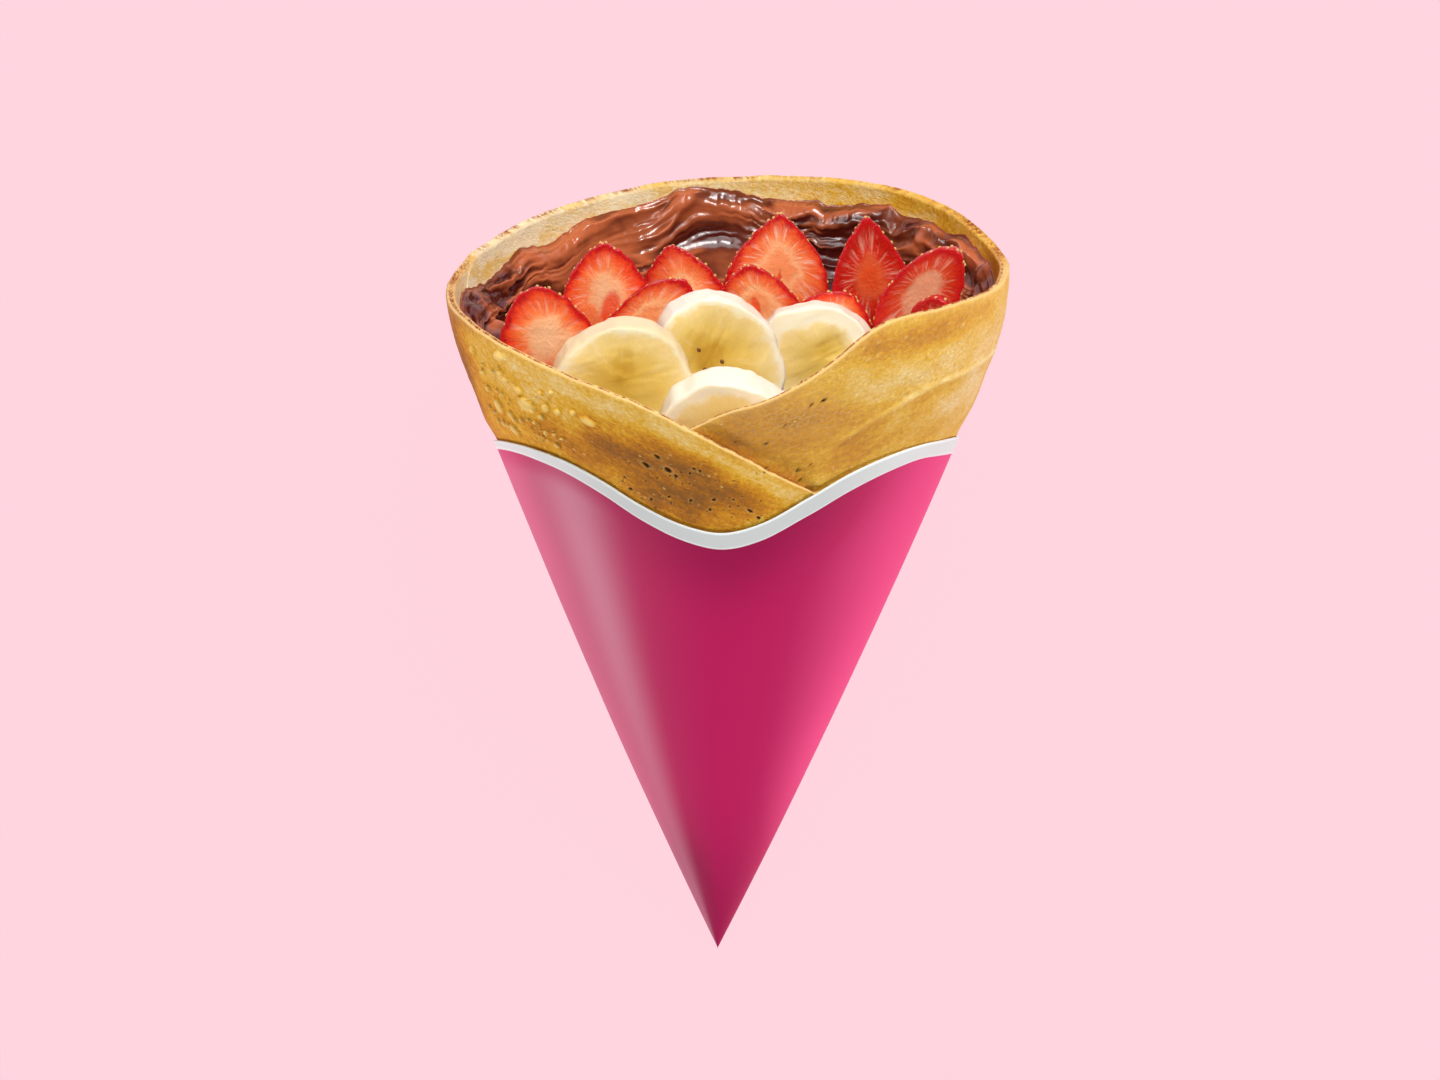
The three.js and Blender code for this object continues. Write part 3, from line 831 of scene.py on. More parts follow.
@dataclass(frozen=True)
class BananaFlesh:
    """Cut ripe banana.

    The eye gets a moist, slightly glassy yellow face with a honey-coloured middle of three
    lobes, faint threads that run outwards, and a cream side where the peel came off.
    """

    name: str
    paler: float
    side: str
    core: str = "#D0A43A"
    middle: str = "#E0BC52"
    face: str = "#EACB6C"
    outer: str = "#F7E09A"
    thread: str = "#FFF6D8"
    cloud: Grain = (5.0, 3.0, 0.55)
    grain: Grain = (0.9, 3.0, 0.6)
    streak: Grain = (1.0, 2.0, 0.5)
    thread_counts: Vec3 = (6.0, 6.0, 2.2)

    def build(self) -> bpy.types.Material:
        """Makes the material.

        Returns:
            The material, which reads the fields rho, rays, place, side and core.
        """
        bench = Bench(self.name)
        node, each = bench.node, bench.each
        spokes = node("VectorMath", ("rays", self.thread_counts), operation="MULTIPLY")
        patterns = (("place", self.cloud), ("place", self.grain), (spokes, self.streak))
        cloud, grain, streak = each("TexNoise", [noise_links(*pattern) for pattern in patterns])
        shifted = "rho"
        for pattern, weight in ((cloud, 0.35), (grain, 0.12), ("core", -0.2)):
            shifted = node("Math", (pattern, weight, shifted), operation="MULTIPLY_ADD")
        shifted = node("Math", (shifted, 0.235 - self.paler), operation="SUBTRACT")
        stops = (
            (0.0, self.core), (0.22, self.middle), (0.55, self.face), (0.88, self.outer),
            (1.0, self.thread),
        )
        colour = node("ValToRGB", (shifted,), stops=stops)
        fine, start = each("MapRange", (
            (streak, 0.52, 0.7, 0.0, 0.13), ("rho", 0.2, 0.5, 0.0, 1.0),
        ), interpolation_type="SMOOTHSTEP")
        fine = node("Math", (fine, start), operation="MULTIPLY")
        for share, tint in ((fine, self.thread), ("side", self.side)):
            colour = node("Mix", {0: share, 6: colour, 7: tint}, out=2, data_type="RGBA")
        relief = node("Math", (fine, 0.8, grain), operation="MULTIPLY_ADD")
        return bench.dressed({
            "Base Color": colour,
            "Normal": node("Bump", {"Height": relief, "Strength": 0.2, "Distance": 0.3 * MM}),
            "Roughness": 0.4,
            "Specular IOR Level": 0.4,
            "Subsurface Weight": 0.25,
            "Subsurface Radius": (1.0, 0.75, 0.4),
            "Subsurface Scale": 2.5 * MM,
        })


@dataclass(frozen=True)
class Husk:
    """A small hard seed: a smooth husk with a slight mottle."""

    name: str
    colour: str
    second: str
    roughness: float = 0.4
    mottle_mm: float = 0.5

    def build(self) -> bpy.types.Material:
        """Makes the material."""
        bench = Bench(self.name)
        where = bench.node("TexCoord", out="Object")
        mottle = bench.node("TexNoise", {"Vector": where, "Scale": 1 / (self.mottle_mm * MM)})
        colour = bench.node(
            "Mix", {0: mottle, 6: self.colour, 7: self.second}, out=2, data_type="RGBA"
        )
        return bench.dressed({"Base Color": colour, "Roughness": self.roughness})


# ------------------------------------------------------------------------------- crepe


@dataclass
class WrapShape:
    """The cross-sections of one wrap as grids of rows by columns.

    The place counts from 0 to 1 over the lip, and is -1 below the outer lip and 2 below
    the inner one.
    """

    radius: Array
    height: Array
    turn: Array
    deep: Array
    place: Array

    def __post_init__(self) -> None:
        """Sorts the rows: 1 outside below the lip, inside below the lip, or on the lip."""
        self.outside = (self.place < -0.5).astype(float)
        self.inside = (self.place > 1.5).astype(float)
        self.on_lip = 1 - self.outside - self.inside

    def near_rim(self, start: float, reach: float) -> Array:
        """1 at the rim, fading below a start over a reach in millimetres."""
        return np.exp(-np.maximum(self.deep - start, 0) / reach)

    def open_skin(self, start: float, full: float) -> Array:
        """Where the outside may be embossed: below its rim and above the paper."""
        above_paper = smooth(self.height - sleeve_edge(self.turn), 0, 2)
        return self.outside * smooth(self.deep, start, full) * above_paper


@dataclass
class Crepe:
    """The folded crepe rolled into a cone: an inner wrap with the left flap over it."""

    columns: int = 640
    flap_columns: int = 560
    outer_rows: int = 104
    lip_rows: int = 13
    inner_rows: int = 34
    covered_foot: float = 8.0
    inner_foot: float = 146.0
    flap_inner_foot: float = 150.0
    lip_slant: float = 0.35
    fold_depth: float = 0.45
    flap_from: float = -118.0
    flap_to: float = 48.0
    flap_ramp: tuple[float, float] = (-113.0, -106.0)
    flap_grain: float = -27.0
    swell: float = 0.7
    blister_rise: float = 0.9
    pit_depth: float = 0.6
    behind: tuple[float, float] = (80.0, 104.0)
    crease: Stations = ((22, 160), (31, 167.3), (41, 171.9), (48, 173.4), (62, 172.9), (80, 171))
    # The inside's tone by azimuth from the back: its own pale colour, paler on the left and darker
    # to the right as painted light and shade.
    inner_tones: Stations = (
        (-150, 0.26), (-85, 0.0), (-30, 0.04), (0, 0.18), (30, 0.3), (60, 0.38), (85, 0.5),
        (150, 0.26),
    )
    right_clouds: tuple[Cloud, ...] = (
        (0.20, 5, 166, 11, 9), (0.20, 16, 172, 11, 6), (-0.22, 38, 178, 15, 5),
        (0.26, 44, 187, 22, 3.5), (0.10, 22, 158, 13, 6), (-0.28, 74, 176, 16, 14),
        (-0.16, 60, 164, 14, 7),
    )
    # The strongest patch, at -82 degrees, is painted shade along the flap's left outline.
    left_clouds: tuple[Cloud, ...] = (
        (0.14, -66, 181, 12, 4), (0.16, -38, 161, 15, 4), (0.42, -15, 158, 17, 7),
        (0.44, -6, 148, 20, 7), (0.5, -82, 165, 15, 24), (-0.06, -44, 171, 12, 4),
    )
    blisters: tuple[Spot, ...] = skin_spots(
        (-62.9, 175.4, 2.4, 2.6), (-51.4, 178.0, 5.0, 2.8), (-45.5, 167.1, 7.0, 4.2),
        (-46.8, 170.6, 2.6, 2.2), (-57.0, 162.6, 4.4, 4.6), (-52.6, 161.8, 2.4, 2.4),
        (-53.7, 157.2, 4.0, 3.6), (-57.6, 157.6, 2.2, 2.2), (-59.7, 166.3, 2.2, 2.2),
        (-39.7, 168.2, 2.6, 2.4), (-36.6, 168.0, 2.4, 2.0), (-32.4, 169.0, 2.0, 1.8),
        (-29.0, 167.4, 4.8, 2.4, -20), (-41.6, 160.6, 1.8, 1.8),
    )
    pits: tuple[Spot, ...] = skin_spots(
        (-17.2, 157.4, 2.8, 1.0, -30), (-14.4, 160.2, 2.2, 1.0, -30),
        (-12.3, 156.6, 2.6, 1.5, -30), (-10.6, 155.0, 1.3, 1.0, -30),
        (-22.0, 149.4, 1.5, 1.1), (-17.1, 147.2, 1.2, 1.0), (-22.9, 152.6, 1.0, 0.9),
        (-7.6, 148.0, 1.2, 0.9), (-2.3, 148.6, 1.3, 0.9), (-3.2, 145.6, 1.1, 0.8),
        (6.1, 145.3, 2.4, 0.9, -30), (8.4, 142.8, 1.8, 0.9, -30),
    )
    right_pits: tuple[Spot, ...] = skin_spots(
        (8.8, 164.0, 1.2, 1.0), (17.0, 155.4, 1.4, 1.2), (18.1, 152.4, 1.4, 1.0),
        (20.0, 175.4, 1.6, 1.0),
    )
    right_blisters: tuple[Spot, ...] = skin_spots(
        (28.9, 184.7, 1.6, 1.4), (31.0, 185.2, 1.4, 1.2), (25.0, 182.6, 1.4, 1.2),
        (54.1, 186.7, 2.4, 1.4, 20), (60.8, 186.2, 1.8, 1.4), (51.3, 179.5, 1.4, 1.2),
        (48.0, 174.6, 1.6, 1.2), (43.5, 173.4, 1.3, 1.1), (60.0, 174.4, 2.0, 1.4),
        (64.5, 174.0, 1.6, 1.2),
    )

    def undulation(self, azimuth: Array, height: Array) -> Array:
        """The crepe's slow waves, in millimetres."""
        base = cone_points(azimuth, cone_radius(height), height)
        free = smooth(height - sleeve_edge(azimuth), 1.0, 12.0)
        return free * self.swell * 0.5 * (noise(base, 24.0, 3) + 0.5 * noise(base, 11.0, 8))

    def back_radius(self, azimuth: Array, height: Array) -> Array:
        """Outside radius of the inner wrap."""
        above = height - sleeve_edge(azimuth)
        past_flap = smooth(height - through(FLAP, azimuth), 0, 3)
        sunk = sink(azimuth, height)
        at_paper = (PAPER_ROOM - sunk) * past_flap * (1 - smooth(above, 1, 9))
        # Where the paper's edge meets it above the flap, it gives way for the paper.
        below = np.maximum(tuck(azimuth, height), sunk + at_paper)
        room = PAPER_ROOM + (below - PAPER_ROOM) * smooth(above, -1.5, -0.2)
        radius = cone_radius(height) - room - 0.35 * band(azimuth, *BEHIND_FLAP)
        return above_table(radius + self.undulation(azimuth, height), azimuth, height, 0.1)

    def inner_radius(self, azimuth: Array, height: Array) -> Array:
        """Inside radius of the rolled crepe."""
        radius = cone_radius(height) - sink(azimuth, height) + self.undulation(azimuth, height)
        return radius - WRAP - 0.25 * band(azimuth, *BEHIND_FLAP)

    def rim_height(self, azimuth: Array) -> Array:
        """Height of the inner wrap's rim, with the small raggedness of its edge."""
        turn = skin_place(unbroken(azimuth), azimuth * 0)
        return through(RIM, azimuth) + 0.16 * noise(turn, 8.0, 21, 3)

    def flap_height(self, azimuth: Array) -> Array:
        """Height of the left flap's free edge."""
        ragged = 0.22 * noise(skin_place(azimuth, azimuth * 0), 8.0, 31, 3)
        return through(FLAP, azimuth) + ragged - 0.6 * (1 - smooth(azimuth, *self.flap_ramp))

    def flap_radius(self, azimuth: Array, height: Array) -> Array:
        """Outside radius of the left flap."""
        # It keeps a little more room under the paper and where it dives into the wall.
        covered = 0.2 * (1 - smooth(height - sleeve_edge(azimuth), -0.5, 0.5))
        hidden = 0.5 * (1 - smooth(azimuth, *self.flap_ramp))
        radius = cone_radius(height) - tuck(azimuth, height) - covered - hidden
        return radius + self.undulation(azimuth, height)

    def flap_inside(self, azimuth: Array, height: Array) -> Array:
        """The flap's hidden side, thinner where it dives into the wall."""
        thin = 1 - 0.5 * (1 - smooth(azimuth, *self.flap_ramp))
        return self.flap_radius(azimuth, height) - WRAP * thin

    def section(
        self, azimuth: Array, rim: Array, outside: Callable, inside: Callable, inner_foot: float
    ) -> WrapShape:
        """One wrap's cross-sections: up the outside, over the two-ply lip, down the inside.

        Args:
            azimuth: The columns' azimuths.
            rim: The rim's height at each column.
            outside: Outside radius from azimuth and height.
            inside: Inside radius from azimuth and height.
            inner_foot: Height of the inside's lower end.

        Returns:
            The wrap's shape.
        """
        ply = 0.25 * WRAP
        lip_foot = rim - ply
        feet = np.minimum(sleeve_edge(azimuth), rim) - self.covered_foot
        inner_feet = np.minimum(inner_foot, rim - self.covered_foot)
        rows: list[tuple[Array, Array, float]] = []
        for share in np.linspace(0, 1, self.outer_rows) ** 0.85:
            h = feet + (lip_foot - feet) * share
            rows.append((outside(azimuth, h), h, -1.0))
        outer_edge, inner_edge = outside(azimuth, lip_foot), inside(azimuth, lip_foot)
        for share in np.linspace(0, 1, self.lip_rows + 2)[1:-1]:
            crown = abs(math.sin(share * 2 * math.pi)) ** 0.6
            fold = self.fold_depth if abs(share - 0.5) < 0.26 else 0.0
            h = lip_foot + ply * max(crown, fold) - self.lip_slant * share
            rows.append((outer_edge + (inner_edge - outer_edge) * share, h, share))
        for share in 1 - np.linspace(0, 1, self.inner_rows) ** 1.6:
            h = inner_feet + (lip_foot - self.lip_slant - inner_feet) * share
            rows.append((inside(azimuth, h), h, 2.0))
        radius, height, place = (
            np.array([np.broadcast_to(value, azimuth.shape) for value in column])
            for column in zip(*rows)
        )
        turn = np.broadcast_to(azimuth, radius.shape)
        return WrapShape(radius, height, turn, rim[None, :] - height, place)

    def back_wrap(self) -> MeshDraft:
        """The inner wrap with the back and the right flap."""
        azimuth = np.linspace(-180, 180, self.columns, endpoint=False)
        wrap = self.section(
            azimuth, self.rim_height(azimuth), self.back_radius, self.inner_radius, self.inner_foot
        )
        turn, height = wrap.turn, wrap.height
        skin = skin_place(unbroken(turn), height)
        # The right flap has one crease, with painted shade below it and a painted highlight along
        # it, fine blisters and pinholes.
        beside = height - at_azimuths(self.crease, turn)
        ends = band(turn, 20, 30, 74, 84)
        ridge, shadow = bell(beside, 0, 0.9) * ends, bell(beside, -2.2, 1.6) * ends
        strewn = scattered(40, (50, 173), (28, 3), (0.8, 1.6), 0, 71)
        strewn += scattered(60, (42, 183), (26, 6), (0.6, 1.3), 0, 72)
        pinholes = scattered(16, (22, 166), (22, 10), (0.5, 0.9), 0, 73)
        dome = strongest(self.right_blisters + strewn, skin) * wrap.outside
        pit = strongest(self.right_pits + pinholes, skin) * wrap.outside
        wrinkle = 0.1 * noise(drawn_out(skin, 22, 4.0), 2.6, 74, 2) * smooth(turn, -5, 20)
        rise = 0.42 * ridge + 0.4 * self.blister_rise * dome - self.pit_depth * pit + wrinkle
        radius = wrap.radius + wrap.open_skin(0.8, 2.5) * rise

        behind = smooth(np.abs(turn), *self.behind)
        lip = 0.8 * wrap.on_lip * (1 - 0.7 * behind) + 0.3 * wrap.near_rim(0, 1.2) * wrap.outside
        dusty = 0.3 + clouds(turn, height, [(0.35, 14, 172, 14, 8)]) * smooth(turn, -5, 5)
        dusty = (dusty + 0.16 * smooth(turn, 45, 65)) * wrap.outside * (1 - 0.6 * ridge)
        fields = {
            "flow": drawn_out(skin, 16, 1.5),
            # The tone gets painted shade below the crease and a painted highlight on its ridge.
            "tone": self.back_tone(wrap, skin, 0.08 * shadow - 0.10 * ridge, behind),
            "toast": self.back_toast(wrap, skin, behind),
            "lip": np.clip(lip, 0, 1),
            "dusty": dusty,
            # The crease's ridge also gets the blisters' pale colour as a painted highlight.
            "dome": 0.7 * dome + 0.35 * ridge * wrap.outside,
            "pit": smooth(pit, 0.1, 0.6),
        }
        return self.draft(cone_points(turn, radius, height), fields, closed=True)

    def back_tone(self, wrap: WrapShape, skin: Array, crease_shade_and_highlight: Array, behind: Array) -> Array:
        """How dark the inner wrap is baked, outside on its right flap and inside, with painted
        shade and highlight at the crease and painted light and shade across the inside.
        """
        right = 0.46 + clouds(wrap.turn, wrap.height, self.right_clouds)
        right = right + crease_shade_and_highlight + 0.07 * noise(skin, (8.0, 5.0, 8.0), 75, 2)
        from_back = np.abs(np.mod(wrap.turn + 360, 360) - 180) * np.sign(wrap.turn)
        uneven = 0.08 + 0.16 * smooth(-from_back, 20, 55)
        # Painted light on the left of the inside, painted shade towards its right.
        inner = at_azimuths(self.inner_tones, from_back)
        inner = inner + uneven * noise(skin, (7.0, 4.0, 7.0), 76, 2)
        pale_part = np.clip(wrap.inside + wrap.on_lip * behind, 0, 1)
        return right * (1 - pale_part) + (inner + 0.06 * wrap.on_lip) * pale_part

    def back_toast(self, wrap: WrapShape, skin: Array, behind: Array) -> Array:
        """How scorched the inner wrap is: at the seam of its fold, its rim and in specks."""
        seam = bell(wrap.place, 0.72, 0.12) * wrap.on_lip * (1 - behind)
        scorch = (1 - smooth(wrap.place, 0.6, 1.05)) * wrap.on_lip * behind
        scorch = scorch + behind * wrap.outside * wrap.near_rim(0.3, 0.8)
        scorch = scorch * np.clip(0.6 + 1.1 * noise(skin, 6.0, 79, 2), 0.1, 1)
        speckled = smooth(noise(skin, (7.0, 3.0, 7.0), 77, 3), 0.1, 0.9) * wrap.inside
        edge = wrap.inside * wrap.near_rim(0, 1.0) * smooth(wrap.turn, 70, 95)
        return np.clip(1.8 * seam + 0.95 * scorch + 0.16 * speckled + 0.5 * edge, 0, 1)

    def left_flap(self) -> MeshDraft:
        """The outer wrap's shown part, which runs down across the front under the paper."""
        azimuth = np.linspace(self.flap_from, self.flap_to, self.flap_columns)
        wrap = self.section(
            azimuth, self.flap_height(azimuth), self.flap_radius, self.flap_inside,
            self.flap_inner_foot,
        )
        turn, height, deep = wrap.turn, wrap.height, wrap.deep
        skin = skin_place(turn, height)
        blisters = self.blisters + scattered(60, (-50, 166), (13, 9), (0.7, 2.4), 0, 81)
        pits = self.pits + scattered(70, (-8, 150), (19, 9), (0.4, 1.0), self.flap_grain, 82)
        dome, foot, pit, pale_rim = (
            strongest(spots, skin, grown) * wrap.outside
            for spots, grown in ((blisters, 1.0), (blisters, 1.5), (pits, 1.0), (pits, 2.0))
        )
        # The ring round each blister's foot becomes painted shade in the tone below.
        foot = foot * (1 - smooth(dome, 0, 0.2))
        # Fine grooves run along the flap's edge where it crosses the front.
        groove = noise(drawn_out(skin, self.flap_grain, 7.0), 1.5, 83, 2)
        groove = groove * smooth(turn, -45, -20) * smooth(deep, 4, 9)
        rise = self.blister_rise * np.sqrt(dome) - self.pit_depth * np.sqrt(pit)
        rise = rise + 0.12 * groove + 0.06 * noise(skin, 2.2, 84, 2)
        radius = wrap.radius + wrap.open_skin(1.0, 3.0) * rise

        tone = 0.44 + 0.2 * foot + clouds(turn, height, self.left_clouds)
        tone = tone + 0.08 * noise(skin, (8.0, 5.0, 8.0), 85, 2) + 0.06 * groove
        tone = tone + (0.27 - tone) * 0.85 * smooth(turn, -80, -40) * bell(deep, 3.6, 3.0)
        near = wrap.near_rim(0.3, 1.4)
        seam = bell(wrap.place, 0.5, 0.17) * wrap.on_lip
        scorch = (1 - smooth(turn, -100, -78)) * (0.3 * wrap.on_lip + 0.25 * near)
        fields = {
            "flow": drawn_out(skin, self.flap_grain, 1.8),
            "tone": tone * (1 - wrap.inside) + 0.06 * wrap.inside,
            "toast": np.clip(2.4 * seam + scorch, 0, 1),
            "lip": np.clip(0.85 * wrap.on_lip + 0.25 * near * wrap.outside, 0, 1),
            "dusty": 0.04 * wrap.outside,
            "dome": np.clip(smooth(dome, 0.0, 0.9) + 0.3 * pale_rim * (1 - pit), 0, 1),
            "pit": smooth(pit, 0.1, 0.6),
        }
        return self.draft(cone_points(turn, radius, height), fields, closed=False)

    def draft(self, points: Array, fields: dict[str, Array], closed: bool) -> MeshDraft:
        """Joins a wrap's cross-sections into a closed mesh.

        Args:
            points: Its points as a grid of cross-sections.
            fields: Its fields as grids of the same rows and columns.
            closed: Whether the wrap goes all the way round.

        Returns:
            The mesh in the making.
        """
        rows, columns = points.shape[:2]
        flat, count = points.reshape(-1, 3), rows * columns
        triangles = np.zeros((0, 3), int)
        if not closed:
            flat = np.concatenate([flat, points[:, [0, -1]].mean(0)])
            first = np.arange(rows) * columns
            ends = [fan(first, count, True), fan(first + columns - 1, count + 1, False)]
            triangles = np.concatenate(ends)
        draft = MeshDraft()
        draft.add(flat, grid_quads(rows, columns, True, closed), triangles, flattened(fields))
        return draft

    def build(self) -> list[bpy.types.Object]:
        """Makes both wraps and sets them for the crepe."""
        skin = BakedBatter().build()
        return [
            settle(self.back_wrap().build("crepe_back_wrap", [skin]), "crepe", "crepe"),
            settle(self.left_flap().build("crepe_left_flap", [skin]), "crepe", "crepe"),
        ]


# ------------------------------------------------------------------------------ sleeve


@dataclass
class PaperSleeve:
    """The paper cone, closed at the tip, with a wavy top edge and a plain border."""

    columns: int = 440
    body_rows: int = 90
    border_rows: int = 60
    border_reach: float = 9.0
    inner_rows: int = 16
    inner_foot: float = 0.06
    inner_tip: float = 6.5
    tip: float = 0.004
    tip_radius: float = 0.05
    sheet: float = 0.45
    border_rise: float = 0.18
    seam: tuple[float, float, float, float] = (-150.0, -149.4, -138.0, -126.0)
    seam_step: float = 0.3
    # Painted shade in the ink: under the edge and at the tip.
    shade_below_edge: Cloud = (1.0, 4, 4, 34, 16)
    shade_at_tip: Cloud = (0.9, -10, 8, 80, 28)

    def outside(self, azimuth: Array, height: Array, below: Array) -> Array:
        """Outside radius, with the slight unevenness of rolled paper."""
        base = cone_points(azimuth, cone_radius(height), height)
        wave = 0.16 * noise(base, 30.0, 61) * smooth(height, 15, 60)
        width = through(BAND_WIDTH, azimuth)
        border = band(below, -0.1, 0.5, width - 0.5, width + 0.2)
        radius = cone_radius(height) - 0.2 + wave + self.border_rise * border
        radius = radius + self.seam_step * band(azimuth, *self.seam) * smooth(height, 5, 30)
        return above_table(radius, azimuth, height, 0.0)

    def print_fields(self, turn: Array, height: Array, below: Array) -> dict[str, Array]:
        """The border with its painted highlights, the ink with its painted shade and painted
        light, and the painted sheen.
        """
        past = below - through(BAND_WIDTH, turn[0])[None, :]
        # Painted highlights on the border's edges, and painted light on its sides.
        rib = 1 - smooth(below, 0.25, 0.7) + smooth(past, -0.75, -0.3)
        rib = rib + 0.6 * smooth(np.abs(turn), 20, 48)
        # A painted highlight: a streak of painted sheen on the left and a wide painted sheen round
        # the side.
        streak = 0.26 * bell(turn, -39, 9) * (0.1 + 0.9 * smooth(height, 30, 130))
        streak = streak + 0.24 * band(-turn, 24, 46, 100, 130)
        # The ink gets painted shade under the edge, at the tip and low on the left, and painted
        # light on the sides where the side lights reach.
        deep = clouds(turn, below, [self.shade_below_edge])
        deep = deep + clouds(turn, height, [self.shade_at_tip])
        deep = deep + 1.1 * smooth(-turn, 0, 30) * (1 - smooth(height, 8, 56))
        painted_light = band(turn, 18, 60, 110, 150) * smooth(height, 10, 70)
        painted_light = painted_light + 0.4 * band(-turn, 48, 66, 110, 150) * smooth(height, 90, 130)
        return {
            "past": past,
            "rib": np.clip(rib, 0, 1),
            "ink": np.clip(0.5 - 0.5 * np.clip(deep, 0, 1) + 0.5 * painted_light, 0, 1),
            "glow": streak * (0.4 + 0.6 * smooth(past, 0.5, 7)),
            "flow": skin_place(turn, height),
        }

    def build(self) -> bpy.types.Object:
        """Makes the sleeve."""
        azimuth = np.linspace(-180, 180, self.columns, endpoint=False)
        edge = sleeve_edge(azimuth)
        foot, start = edge * self.tip, edge - self.border_reach
        shares = np.linspace(0, 1, self.body_rows, endpoint=False)
        height = np.array(
            [foot + (start - foot) * share for share in shares]
            + [edge - reach for reach in np.linspace(self.border_reach, 0, self.border_rows)]
            + [edge * share for share in np.linspace(1, self.inner_foot, self.inner_rows)]
        )
        turn = np.broadcast_to(azimuth, height.shape)
        below = edge[None, :] - height
        shown = self.body_rows + self.border_rows
        radius = self.outside(turn, height, below)
        radius[shown:] -= self.sheet
        radius[shown:] = above_table(radius[shown:], turn[shown:], height[shown:], self.sheet)
        fields = self.print_fields(turn, height, below)
        # The inside is plain: as if it were all border, without its painted highlights.
        fields["past"][shown:] = -self.border_reach
        fields["rib"][shown:] = 0.0
        draft = MeshDraft()
        points = cone_points(turn, np.maximum(radius, self.tip_radius), height)
        draft.add_tube(points, np.array([[0, 0, 0], [0, 0, self.inner_tip]]), fields)
        piece = draft.build("sleeve_wavy_paper", [CoatedPaper().build()])
        return settle(piece, "paper_sleeve", "sleeve_paper")


# -------------------------------------------------------------------- chocolate spread


